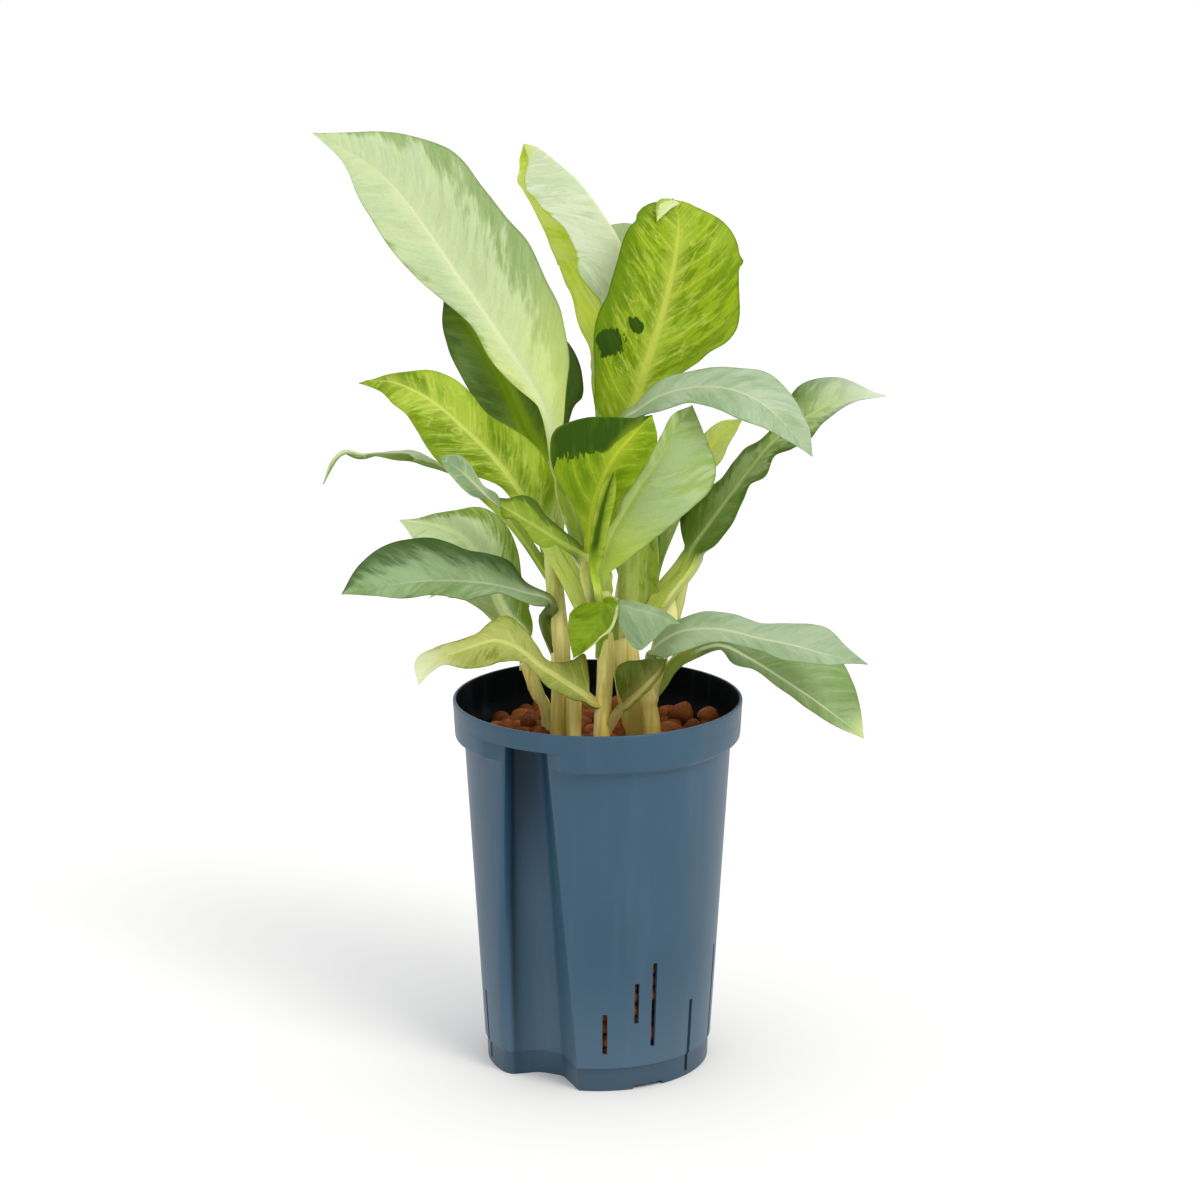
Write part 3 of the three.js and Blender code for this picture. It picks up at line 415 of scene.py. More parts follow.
def leafFinish(name, look):
    # Colour of one face of a blade, from u along it, v across it and centimetres along its side veins.
    # A side vein is the line where along - veinLean out - veinBow out^2 stays the same; every noise is
    # read in that number and in out, so blotches, feathers and fine veins all lie the way the veins run.
    material, shader = newFinish(name, look.get("rough", 0.45), look.get("gloss", 0.1))
    place = newNode("UVMap")
    place.uv_map = "grown"
    u, v, _ = parts(place.outputs[0])
    along, across, seed = parts(attribute("leafCm"))
    out = calc("ABSOLUTE", across)
    edge = calc("ABSOLUTE", v)
    handed = calc("SIGN", v)
    seedSide = timesPlus(handed, 3.7, seed)
    bow = times(times(out, out), leafGrid["veinBow"])
    veinRun = less(timesPlus(out, -leafGrid["veinLean"], along), bow)

    def grown(perVein, perOut, detail, rough, shift=0.0, bent=0.0):
        # noise in the veins' own directions, or lengthwise on a sheath
        ways = (across, along) if look.get("lengthwise") else (veinRun, out)
        spot = vector(times(ways[0], perVein), times(ways[1], perOut), calc("ADD", seedSide, shift))
        return noise(spot, 1.0, detail, rough, bent)

    def lighter(tint, gain, lift):
        return srgb([min(255, c * gain + lift) for c in tint], leafLight)

    def tinted(color, factor, strength, key):
        return blend(times(factor, strength), color, srgb(look[key], leafLight))

    streak = grown(3.4, 1.1, 4.0, 0.65)
    patch = grown(1.1, 0.6, 3.0, 0.6)
    chunk = grown(2.6, 2.4, 2.0, 0.6, 3.0)
    broad = grown(0.35, 0.3, 2.0, 0.5, 9.0)
    fleck = grown(9.0, 9.0, 3.0, 0.6)
    ridge = calc("ABSOLUTE", less(grown(1.25, 0.5, 2.0, 0.45, 5.0, 0.5), 0.5))
    fine = calc("ABSOLUTE", less(grown(3.4, 1.5, 2.0, 0.5, 7.0, 0.6), 0.5))

    # side veins lie where veinRun is a whole number of spacings, a little astray; between is their field
    spacing = look.get("spacing", leafGrid["veinSpacing"]) / 10
    astray = timesPlus(broad, 0.5, calc("DIVIDE", veinRun, spacing))
    field = times(calc("ABSOLUTE", less(calc("FRACT", calc("ADD", astray, 0.5)), 0.5)), spacing)

    # cloudy patches of the second colour between the side veins, with edges drawn out along them, and
    # streaks of the third
    color = srgb(look["main"], leafLight)
    cloud = sway(streak, look.get("streaky", 0.45), patch)
    if "blotch" in look:
        cloud = sway(chunk, look["blotch"], cloud)
    cloud = timesPlus(less(field, 0.25 * spacing), look.get("between", 0.1), cloud)
    low = 0.62 - 0.35 * look.get("patchy", 0.3)
    color = tinted(color, step(cloud, low, low + look.get("crisp", 0.14)), look.get("patchStrength", 0.7),
                   "second")
    if "third" in look:
        color = tinted(color, step(timesPlus(broad, 0.8, times(streak, 0.6)), 0.66, 0.8),
                       look.get("thirdStrength", 0.7), "third")
    # darker margin: its inner border wanders with the patches and is frayed by the streaks
    wide = look.get("marginWidth", (0.25, 0.25))
    start = timesPlus(handed, (wide[0] - wide[1]) / 2, 1 - (wide[0] + wide[1]) / 2)
    rim = sway(streak, look.get("feather", 0.7), edge)
    rim = sway(patch, look.get("wander", 0.7), rim)
    rim = timesPlus(less(0.5, u), look.get("marginLean", 0.0), less(rim, start))
    soft = look.get("marginSoft", 0.16)
    color = tinted(color, step(rim, 0.0, soft), look.get("marginStrength", 0.8), "margin")
    if "fringe" in look:
        color = tinted(color, times(step(rim, 0.1, 0.3), step(streak, 0.46, 0.56)),
                       look.get("fringeStrength", 0.8), "fringe")
    # towards the base and the tip
    color = tinted(color, step(timesPlus(patch, 0.2, u), look.get("baseReach", 0.3) + 0.1, 0.08),
                   look.get("baseStrength", 0.7), "base")
    if "tip" in look:
        color = tinted(color, step(u, look.get("tipStart", 0.85), 1.0), 1.0, "tip")
    # pale net of side veins: broad ridges that wander and fork, and thin ones between them
    net = calc("MAXIMUM", step(ridge, 0.035, 0.0), times(step(fine, 0.03, 0.0), 0.55))
    net = times(net, step(edge, 1.0, 0.6))
    color = tinted(color, net, look.get("veins", 0.2), "rib")
    lateral = times(step(edge, 1.0, 0.55), step(fleck, 0.3, 0.55))
    lateral = times(step(field, 0.035 + 0.08 * spacing, 0.01), lateral)
    color = tinted(color, lateral, look.get("laterals", 0.25), "rib")
    # set patches: u, v, half lengths and colour, with a jagged edge; the broad lime leaf's two dark ones
    # are painted shadows
    for at, spread, tint, jag, lean in look.get("patches", ()):
        dv = less(v, at[1])
        du = timesPlus(dv, -lean, less(u, at[0]))
        d1, d2 = calc("DIVIDE", du, spread[0]), calc("DIVIDE", dv, spread[1])
        far = calc("SQRT", calc("ADD", times(d1, d1), times(d2, d2)))
        far = sway(chunk, jag, far)
        mottled = times(step(patch, 0.4, 0.65), 0.35)
        dark = blend(mottled, srgb(tint, leafLight), lighter(tint, 1.3, 6))
        color = blend(step(far, 1.05, 0.95), color, dark)
    # a dark cap over the left corner at the tip, with a slanting jagged border
    if "cap" in look:
        start, slope, side, tint = look["cap"]
        over = less(u, timesPlus(v, slope, start + slope))
        over = sway(patch, 0.14, over)
        over = sway(chunk, 0.16, over)
        beside = sway(streak, 0.12, less(side, v))
        mottled = times(step(patch, 0.42, 0.62), 0.5)
        dark = blend(mottled, srgb(tint, leafLight), lighter(tint, 1.35, 8))
        color = blend(times(step(over, -0.005, 0.012), step(beside, 0.0, 0.05)), color, dark)
    # a thin darker line along the very edge
    color = blend(times(step(edge, 0.955, 0.99), look.get("edging", 0.45)), color,
                  srgb([c * 0.72 for c in look["margin"]], leafLight))
    # the midrib: a thin line in a soft glow, both fading towards the tip
    taper = calc("POWER", calc("MAXIMUM", less(1.0, u), 0.0), 0.8)
    ribWide = timesPlus(taper, look.get("ribWidth", 0.11), 0.02)
    ribFar = sway(streak, 0.8, calc("DIVIDE", out, ribWide))
    fade = step(u, 1.0, look.get("ribFade", 0.6))
    if "ribStart" in look:
        fade = times(fade, step(u, look["ribStart"] - 0.1, look["ribStart"] + 0.1))
    color = tinted(color, times(step(out, look.get("glowWidth", 0.8), 0.0), fade), look.get("glow", 0.3),
                   "rib")
    color = tinted(color, times(step(ribFar, 1.5, 0.6), fade), look.get("ribStrength", 0.85), "rib")
    # the stalk, and a faint grain over everything
    color = tinted(color, step(u, 0.04, -0.06), 1.0, "stalk")
    lines = noise(vector(times(across, 6.0), times(along, 0.35), seed), 1.0, 3.0, 0.6)
    color = tinted(color, times(step(u, 0.02, -0.1), step(lines, 0.45, 0.58)), 0.7, "stalkBand")
    color = tinted(color, times(step(u, 0.1, -0.1), step(lines, 0.44, 0.34)), 0.45, "second")
    grain = timesPlus(fleck, 0.2, timesPlus(broad, 0.16, 0.82))
    color = blend(1.0, color, vector(grain, grain, grain), "MULTIPLY")
    wire(color, shader.inputs["Base Color"])
    height = calc("ADD", times(lateral, -2 * look.get("laterals", 0.25)), times(streak, 0.6))
    relief(shader, height, 0.35, 0.0006)
    return material


# Each leaf's midrib, half widths and bends, as in the part's source.
leafForms = [
    {
        "name": "leaf_tall_left",
        "path": [[-26, 2, 280], [-21, 3, 306], [-24.1, 4, 337.2], [-32.9, 8, 357.2], [-45.6, 11, 376.1],
            [-58.5, 14, 395.3], [-71.8, 17, 413.5], [-85.9, 19, 434.1], [-100.6, 20, 453.8],
            [-117.8, 20, 469.7], [-143.4, 20, 483.9]], "stalk": 0.19, "stalkRadius": 3.2,
        "left": [3, 2, 8.5, 11, 9.5, 13.5, 18.5, 21, 20, 16, 5.5, 0],
        "right": [3, 11, 24.5, 33, 35.5, 39, 37, 36, 35, 24, 10.5, 0],
        "face": [[0.3, -1, 0.2], [0.1, -1, 0.2], [0.1, -1, 0.3]], "fold": [10, 5], "curl": [-10, -10],
        "wave": [1.5, 1.6, 0.1],
    },
    {
        "name": "leaf_dark_behind",
        "path": [[-24, -1, 274], [-25, 12, 296], [-32.1, 18, 321.9], [-37.8, 20, 334],
            [-45.2, 22, 351.2], [-54.2, 25, 367.3], [-64, 28, 381.7], [-73, 30, 393], [-78.6, 30, 400.4]],
        "stalk": 0.3, "stalkRadius": 2.6, "left": [3, 3, 9.5, 18, 18.5, 19, 18, 15.5, 10.5, 0],
        "right": [3, 17, 32.5, 37.5, 39.5, 37.5, 33, 26.5, 14.5, 0],
        "face": [[0.2, -1, 0.2], [0.2, -1, 0.4]], "fold": [8, 8], "curl": [-10, -10],
        "wave": [1.5, 2, 0.2],
    },
    {
        "name": "leaf_folded_top",
        "path": [[17, 5, 247], [9, 16, 272], [3, 20, 316], [-0.8, 20, 356.6], [3.2, 22, 377.8],
            [9, 24, 400.6], [11.4, 26, 423.3], [1.6, 28, 441.8], [-9.8, 29, 457.2], [-22.7, 28, 469],
            [-30.8, 27, 475.3], [-37.5, 25, 477.6]], "stalk": 0.4, "stalkRadius": 2.8,
        "left": [3, 2, 6, 17, 24.5, 32, 34.5, 32.5, 30.5, 29, 26.5, 20.5, 0],
        "right": [3, 4, 5, 2, 6.5, 21.5, 23, 23, 22, 23.5, 23, 18.5, 0],
        "face": [[-0.3, -1, 0], [-0.9, -0.5, 0], [-1, -0.3, -0.2], [-1, -0.3, -0.2]], "fold": [62, 84],
        "curl": [-10, 6], "wave": [1.5, 1.5, 0.3],
    },
    {
        "name": "leaf_pale_behind",
        "path": [[19, 5, 243], [16, 24, 280], [14, 34, 316], [7.4, 40, 377.9], [9, 44, 400.6],
            [11.5, 48, 416.6], [17.3, 50, 426.3], [27.9, 48, 433.2]], "stalk": 0.42, "stalkRadius": 2.6,
        "left": [3, 4, 5, 6, 9, 11, 10, 6, 0], "right": [3, 8, 14, 18, 18, 14, 10, 6, 0],
        "face": [[0, -1, 0], [0, -1, 0.2]], "fold": [10, 10], "curl": [-10, -10], "wave": [1, 2, 0],
    },
    {
        "name": "leaf_lime_right",
        "path": [[23, 6, 258], [21, 9, 286], [19, 8, 316], [16.3, 5, 337], [20.3, 4, 353],
            [26.7, 3, 374.6], [33.1, 2, 396], [37.5, 2, 414.8], [39.7, 2, 428.5], [40.5, 4, 439.5],
            [39.9, 8, 447.1], [38.7, 12, 451.2]], "stalk": 0.39, "stalkRadius": 4.2,
        "left": [3, 18.5, 22, 24, 26.5, 29, 31, 32, 31.5, 30, 30, 29.5, 29, 28.5, 27, 24, 20.5, 0],
        "right": [3, 6.5, 7, 10, 13, 19, 24.5, 28.5, 35, 38, 37.5, 35.5, 33.5, 32, 30.5, 24.5, 11.5, 0],
        "face": [[0.2, -1, 0], [0.05, -1, 0.05], [0, -1, 0.1]], "fold": [8, 8], "curl": [5, -10],
        "wave": [2, 1.5, 0],
    },
    {
        "name": "leaf_grey_arch",
        "path": [[22, 5, 252], [29, -3, 272], [27, -5, 296], [22, -5, 320], [11.7, -10, 340.3],
            [20.6, -14, 349.2], [30.4, -18, 356.4], [42.1, -24, 361.5], [53.7, -30, 363.9],
            [65.2, -36, 363.8], [76.8, -41, 360.4], [87.4, -45, 353.3], [97, -49, 343.2],
            [106.4, -51, 332.7]], "stalk": 0.46, "stalkRadius": 3.6,
        "left": [3, 5.5, 10.5, 12.5, 14, 15.5, 16.5, 19, 18.5, 16, 13, 0],
        "right": [3, 6, 10.5, 11.5, 12.5, 14.5, 16.5, 17, 15, 11, 5.5, 0],
        "face": [[0.5, -1, 0], [-0.4, -0.6, 1], [0.1, -0.6, 0.8], [0.8, -0.6, 0.6]], "fold": [10, 10],
        "curl": [-20, -20], "wave": [1, 2, 0],
    },
    {
        "name": "leaf_wavy_right",
        "path": [[27.5, -9, 244.1], [33.4, -7, 253.9], [43.1, -3, 265.4], [49.1, -2, 275.7],
            [56, -3, 285.7], [62.9, -4, 295.8], [70.8, -6, 307.3], [78, -8, 317.9], [86.4, -9, 328.9],
            [96.2, -9, 338.1], [107.1, -8, 345], [119.1, -6, 351], [133.1, -3, 354.7], [146.3, 0, 353.5]],
        "stalk": 0.2, "stalkRadius": 4.6,
        "left": [3, 22.5, 20, 16, 11.5, 13.5, 12, 6, 8, 14.5, 18.5, 18.5, 14.5, 3, 0],
        "right": [3, 10.5, 15, 16, 9.5, 7.5, 14, 7, 13, 16.5, 9.5, 7, 5.5, 3.5, 0],
        "face": [[-0.7, -0.6, 0.4], [-0.7, -0.5, 0.5], [-0.2, -0.6, 0.8]], "fold": [10, 10],
        "curl": [-10, -15], "wave": [1.5, 4.5, 0],
    },
    {
        "name": "leaf_young_right",
        "path": [[21, 4, 238], [24.5, 6, 245.7], [27.4, 8, 260.1], [31.7, 9, 273.7], [46.2, 12, 307.1],
            [56.3, 16, 319.6], [63.4, 20, 329.1], [74.6, 24, 336.6]], "stalk": 0.62, "stalkRadius": 5,
        "left": [3, 6, 8, 7, 5, 0], "right": [3, 6, 8, 7, 5, 0], "face": [[0, -1, 0.3], [0, -1, 0.5]],
        "fold": [15, 15], "curl": [-20, -20], "wave": [0, 1, 0],
    },
    {
        "name": "leaf_centre",
        "path": [[3, -18, 250], [0.8, -24, 259.8], [1.4, -29, 269.3], [4.7, -33, 282.5],
            [11.6, -35, 297.1], [20.4, -37, 312.7], [30.2, -37, 327.7], [39, -33, 341.9],
            [47.4, -26, 353.5]], "stalk": 0.17, "stalkRadius": 4.2,
        "left": [3.5, 2, 2, 2, 4.5, 4, 4, 5, 5.5, 6, 0],
        "right": [3.5, 11, 15, 19, 22.5, 25.5, 28, 30, 25.5, 13.5, 0],
        "face": [[0.2, -1, 0], [-0.1, -1, 0.1], [-0.1, -1, 0.3]], "fold": [35, 5], "curl": [-20, -10],
        "wave": [1, 1.5, 0.2],
    },
    {
        "name": "leaf_bent_front",
        "path": [[1, -16, 262], [-3.4, -30, 277.7], [-3.6, -37, 291.5], [-1.8, -43, 307],
            [2.7, -47, 320.9], [8.6, -49, 332.3], [15.4, -49, 340.6], [22.2, -47, 347.7],
            [27.1, -43, 351.9]], "stalk": 0.2, "stalkRadius": 3.2,
        "left": [3, 2, 4, 7.5, 13.5, 23.5, 29.5, 32, 24, 15, 5.5, 0],
        "right": [3, 5.5, 8, 11, 12.5, 13, 14.5, 15.5, 15, 13.5, 10.5, 0],
        "face": [[0, -1, 0], [0, -1, 0.1], [0, -1, 0.3]], "fold": [5, 10], "curl": [-5, -10],
        "wave": [1, 1, 0.2],
    },
    {
        "name": "leaf_lime_left",
        "path": [[-5.2, -20, 244.4], [-10.5, -18, 257.6], [-19, -16, 272.7], [-25.1, -15, 283.2],
            [-34.1, -14, 297.4], [-39.7, -14, 307], [-46.4, -13, 316.6], [-53.9, -12, 325.5],
            [-61.8, -11, 333.4], [-70.7, -10, 341.7], [-80.6, -9, 350.2], [-91.6, -7, 356.9],
            [-105.6, -4, 361.4], [-120.8, 0, 359.8]], "stalk": 0.27, "stalkRadius": 4.6,
        "left": [4, 2, 5.5, 7, 12.5, 20, 22, 20.5, 17, 13, 10.5, 5, 0],
        "right": [4, 15, 18.5, 20.5, 19, 15.5, 13.5, 15.5, 16, 13, 6.5, 2, 0],
        "face": [[0.4, -1, 0.2], [0.2, -1, 0.3], [0.1, -1, 0.4], [0, -1, 0.5]], "fold": [8, 8],
        "curl": [-10, -10], "wave": [1, 2, 0.1],
    },
    {
        "name": "leaf_edge_on",
        "path": [[-22, -5, 258], [-36, 4, 278], [-48, 8, 292], [-65, 10, 307], [-78, 8, 315],
            [-91, 6, 322], [-105, 4, 323], [-119, 2, 323], [-129, 1, 325], [-136, 0, 319],
            [-140, -2, 308]], "stalk": 0.42, "stalkRadius": 2.4, "left": [2.5, 8, 12, 14, 12, 8, 0],
        "right": [2.5, 8, 12, 14, 12, 8, 0],
        "face": [[0.5, -0.5, 1], [0.1, 0.05, 1], [0, 0.1, 1], [-0.8, 0, 0.6]], "fold": [5, 5],
        "curl": [-30, -30], "wave": [2, 1.5, 0.3],
    },
    {
        "name": "leaf_twisted",
        "path": [[3, -19, 244], [-2.5, -26, 262.5], [-4.7, -31, 275.4], [-16.9, -35, 284.5],
            [-28, -38, 292.4], [-37.3, -40, 298.6], [-48.4, -42, 306.2], [-54.7, -43, 311.4],
            [-61.9, -43, 318], [-68.3, -42, 323.4], [-74.6, -40, 327.4], [-78.6, -38, 329.9]],
        "stalk": 0.3, "stalkRadius": 3.4, "left": [3, 2, 2, 8, 8, 4.5, 2.5, 7.5, 9, 2.5, 3.5, 6, 6, 0],
        "right": [3, 5.5, 6.5, 8, 9.5, 13.5, 13, 6.5, 7, 8, 6.5, 5.5, 4, 0],
        "face": [[0.4, -1, 0.3], [0.2, -0.8, 0.6], [0.1, -0.8, 0.6], [0, -0.7, 0.7], [0.1, -0.5, 0.85],
            [0.2, 0.6, 0.8], [0, 0.8, -0.1], [-0.1, 0.8, -0.5]], "fold": [10, 10], "curl": [-20, -20],
        "wave": [1.5, 1.5, 0.1],
    },
    {
        "name": "leaf_rolled",
        "path": [[4, -21, 232], [-1.8, -34, 273.5], [-0.6, -43, 288.9], [2.1, -50, 304.5],
            [5.3, -54, 317.4], [8.7, -54, 326.8]], "stalk": 0.3, "stalkRadius": 2,
        "left": [2, 2.7, 2.5, 3.5, 4, 4, 4, 0], "right": [2, 2.7, 6, 6, 6, 6, 5, 0],
        "face": [[0, -1, 0], [0, -1, 0]], "fold": [35, 35], "curl": [0, 0], "wave": [0, 1, 0],
    },
    {
        "name": "leaf_back_left",
        "path": [[-37, 8, 207], [-38, 11, 223.8], [-45.1, 13, 231.8], [-50.2, 15, 239.7],
            [-54.3, 16, 249.9], [-59.3, 17, 260.2], [-66.3, 17, 271.7], [-73.4, 16, 278.2],
            [-83.4, 15, 282.4], [-93.4, 13, 284.7], [-101.8, 11, 286.2]], "stalk": 0.14,
        "stalkRadius": 2.6, "left": [3, 4.5, 6.5, 12, 16, 17, 18.5, 20, 20, 16.5, 12.5, 0],
        "right": [3, 12, 14.5, 15.5, 18, 21.5, 23, 22, 13, 7, 2, 0],
        "face": [[0.5, -1, 0.2], [0.3, -0.9, 0.5], [0, -0.7, 0.8]], "fold": [10, 10], "curl": [-20, -20],
        "wave": [1, 2, 0],
    },
    {
        "name": "leaf_silver_left",
        "path": [[-19, -9, 218], [-26.4, -13, 238.5], [-23.5, -17, 247.4], [-26.2, -20, 252.7],
            [-37.2, -21, 256], [-50.1, -21, 259.5], [-66.1, -22, 261.8], [-82, -23, 262.5],
            [-97.9, -24, 261.5], [-115.8, -25, 259.1], [-129.7, -26, 256.2]], "stalk": 0.24,
        "stalkRadius": 2.8, "left": [3, 6.5, 5.5, 4, 7, 11.5, 10, 9, 9, 8, 5.5, 3, 0],
        "right": [3, 4, 7, 15, 16.5, 17.5, 22, 25, 25, 23, 19, 11.5, 0],
        "face": [[1, -1, 0.3], [0, -0.7, 0.7], [0, -0.75, 0.7], [0, -0.75, 0.65]], "fold": [10, 10],
        "curl": [-15, -15], "wave": [1, 2, 0.2],
    },
    {
        "name": "leaf_low_left",
        "path": [[3, -24, 199], [-1.8, -29, 200.6], [-8.2, -33, 206.5], [-18.1, -39, 214.8],
            [-28, -44, 222.9], [-35.8, -48, 230.8], [-42.6, -51, 236.1], [-51.4, -54, 239.3],
            [-59.1, -57, 238.1], [-66.9, -59, 235.8], [-76.7, -61, 232.6], [-84.6, -62, 226.8],
            [-89.5, -63, 218.9]], "stalk": 0.1, "stalkRadius": 2.8,
        "left": [3, 6.5, 7.5, 8, 5, 4.5, 8, 12, 15, 14, 10.5, 4, 2.5, 0],
        "right": [3, 19.5, 12, 6.5, 4.5, 6.5, 10.5, 14, 7.5, 6.5, 6.5, 7.5, 8.5, 0],
        "face": [[0.3, -0.8, 0.6], [0.1, -0.75, 0.65], [-0.4, -0.7, 0.7]], "fold": [10, 15],
        "curl": [-15, -15], "wave": [1, 1.5, 0.3],
    },
    {
        "name": "leaf_front_nod",
        "path": [[8, -20, 230], [8.1, -29, 248.5], [10.5, -34, 252.5], [15, -38, 252.9],
            [21.6, -41, 251.7], [28.1, -43, 250.3], [34.7, -45, 248.4], [41.7, -46, 245.7]],
        "stalk": 0.24, "stalkRadius": 2.6, "left": [3, 3, 3, 3, 3.5, 3.5, 3.5, 3, 2, 0],
        "right": [3, 5, 7, 9.5, 14.5, 19, 19.5, 13, 3, 0],
        "face": [[0.3, -1, 0.2], [0, -0.8, 0.7], [0, -1, 0.4], [0, -1, 0.4]], "fold": [5, -8],
        "curl": [-10, -14], "wave": [0, 1, 0],
    },
    {
        "name": "leaf_front_dome",
        "path": [[2, -24, 222], [2.8, -28, 246.9], [3.6, -33, 253.8], [2.3, -38, 249.5],
            [0.2, -42, 244.7], [-3.2, -45, 239.7], [-7.5, -47, 234.4], [-12.2, -47, 228.1]],
        "stalk": 0.36, "stalkRadius": 2.4, "left": [3, 7, 8, 8, 7.5, 5, 4, 2.5, 0],
        "right": [3, 11, 11.5, 15, 16, 15, 12.5, 7.5, 0],
        "face": [[0.3, -1, 0.2], [0, -0.3, 1], [0, -1, 0.5], [0, -1, 0.5], [0, -1, 0.4]],
        "fold": [-10, -5], "curl": [-10, -16], "wave": [0, 1, 0],
    },
    {
        "name": "leaf_low_right",
        "path": [[30, -11, 211], [31, -21, 221], [27.7, -28, 227.5], [38.6, -34, 237.3],
            [50.3, -39, 241.5], [65, -44, 242], [80.7, -48, 239], [96.4, -51, 236.5],
            [114.1, -53, 232.1], [135.3, -54, 227.1]], "stalk": 0.17, "stalkRadius": 2.6,
        "left": [3, 8.5, 10, 13.5, 13.5, 12, 12, 14, 18, 17.5, 8.5, 0],
        "right": [3, 13, 17, 14.5, 11, 10, 10.5, 12.5, 10.5, 8, 3.5, 0],
        "face": [[0.2, -1, 0.3], [-0.2, -0.5, 0.9], [0.05, -0.45, 0.9], [0.1, -0.45, 0.9]],
        "fold": [12, 12], "curl": [-20, -20], "wave": [1, 1.5, 0.2],
    },
    {
        "name": "leaf_hanging_right",
        "path": [[26, -14, 198], [32.1, -14, 205.3], [38.3, -13, 214.5], [45.9, -14, 220.7],
            [62.1, -17, 227.1], [78.1, -20, 220.6], [94.1, -24, 211.3], [110, -28, 201.4],
            [123.9, -33, 192], [135.4, -37, 183.5]], "stalk": 0.27, "stalkRadius": 3,
        "left": [3, 2, 10, 16, 22.5, 26.5, 28.5, 21.5, 12, 0],
        "right": [3, 2, 8, 5, 4.5, 5.5, 7, 7, 4, 0],
        "face": [[-0.3, -1, 0.5], [0.2, -0.8, 0.6], [0.4, -0.8, 0.6]], "fold": [10, 10],
        "curl": [-15, -15], "wave": [1.5, 2, 0.4],
    },
    {
        "name": "leaf_small_front",
        "path": [[2, -25, 178], [10.4, -31, 195.2], [15.2, -34, 201], [20.8, -36, 207],
            [25.5, -37, 212.2], [30.2, -37, 217.5], [34.9, -37, 224.9]], "stalk": 0.35,
        "stalkRadius": 2.4, "left": [2.5, 2.5, 11.5, 16.5, 17, 13, 9.5, 0],
        "right": [2.4, 3, 3, 3, 3, 2.5, 2, 0], "face": [[0.2, -1, 0.2], [0.2, -1, 0.2]], "fold": [5, 5],
        "curl": [-10, -10], "wave": [0, 1, 0],
    },
    {
        "name": "leaf_rear_middle",
        "path": [[18, 4, 236], [22, 18, 250], [25, 34, 266], [27, 56, 280], [28, 86, 283],
            [30, 118, 270]], "stalk": 0.35, "stalkRadius": 2.8, "left": [3, 12, 18, 21, 18, 9, 0],
        "right": [3, 12, 18, 21, 18, 9, 0], "face": [[0, -1, 1], [0, -0.3, 1], [0, 0.4, 1]],
        "fold": [12, 12], "curl": [-20, -20], "wave": [1.5, 2, 0.2],
    },
    {
        "name": "leaf_rear_left",
        "path": [[-21, -7, 242], [-24, 8, 258], [-31, 26, 288], [-39, 48, 314], [-47, 76, 324],
            [-54, 104, 314]], "stalk": 0.4, "stalkRadius": 2.6, "left": [3, 10, 15, 17, 14, 7, 0],
        "right": [3, 10, 15, 17, 14, 7, 0], "face": [[0, -1, 1], [0, -0.5, 1], [0, 0.3, 1]],
        "fold": [12, 12], "curl": [-20, -20], "wave": [1.5, 2, 0.6],
    },
    {
        "name": "leaf_rear_tall",
        "path": [[-23, -3, 266], [-20, 14, 284], [-22, 30, 318], [-33, 44, 358], [-46, 57, 395],
            [-57, 68, 424]], "stalk": 0.36, "stalkRadius": 2.6, "left": [3, 11, 16, 18, 16, 8, 0],
        "right": [3, 11, 16, 18, 16, 8, 0], "face": [[0, 1, -0.3], [0.2, 1, 0.2], [0, 1, 0.5]],
        "fold": [10, 10], "curl": [-20, -20], "wave": [1.5, 2, 0.4],
    },
    {
        "name": "leaf_rear_right",
        "path": [[29, -11, 207], [39, 3, 213], [49, 18, 221], [65, 40, 221], [85, 64, 211],
            [101, 84, 196]], "stalk": 0.3, "stalkRadius": 2.5, "left": [3, 11, 15, 17, 14, 7, 0],
        "right": [3, 11, 15, 17, 14, 7, 0], "face": [[-0.3, -0.3, 1], [0, 0, 1], [0.3, 0.3, 1]],
        "fold": [12, 12], "curl": [-20, -20], "wave": [1.5, 2, 0.1],
    },
    {
        "name": "leaf_rear_low",
        "path": [[-33, 6, 199], [-37, 20, 211], [-45, 36, 223], [-59, 55, 235], [-76, 74, 235],
            [-91, 92, 225]], "stalk": 0.3, "stalkRadius": 2.4, "left": [3, 10, 15, 17, 14, 7, 0],
        "right": [3, 10, 15, 17, 14, 7, 0], "face": [[0.3, -0.3, 1], [0, 0, 1], [-0.3, 0.3, 1]],
        "fold": [12, 12], "curl": [-20, -20], "wave": [1.5, 2, 0.7],
    },
]

# Colours of each leaf's upper and lower face, 0..255, and how its pattern lies.
silver = {
    "main": (206, 224, 185), "second": (194, 214, 168), "third": (190, 210, 180), "margin": (180, 204, 154),
    "fringe": (152, 184, 124), "rib": (232, 240, 204), "base": (196, 213, 140), "stalk": (206, 216, 150),
    "stalkBand": (178, 200, 96), "marginWidth": (0.18, 0.3), "marginSoft": 0.3, "veins": 0.14,
}
silverUnder = {
    "main": (200, 216, 180), "second": (188, 206, 164), "margin": (176, 198, 150), "rib": (224, 232, 194),
    "base": (192, 208, 140), "stalk": (198, 210, 140), "stalkBand": (176, 196, 100), "marginStrength": 0.5,
    "patchStrength": 0.5, "ribWidth": 0.14, "veins": 0.2,
}
lime = {
    "main": (134, 164, 16), "second": (112, 146, 6), "third": (162, 190, 56), "margin": (150, 178, 44),
    "rib": (206, 218, 96), "base": (150, 176, 40), "stalk": (184, 206, 112), "stalkBand": (156, 186, 60),
    "marginWidth": (0.06, 0.12), "marginStrength": 0.5, "patchy": 0.5, "veins": 0.22, "glow": 0.4,
    "glowWidth": 0.7, "ribWidth": 0.16, "ribFade": 0.8, "laterals": 0.5, "between": 0.35,
    "patchStrength": 0.85,
}
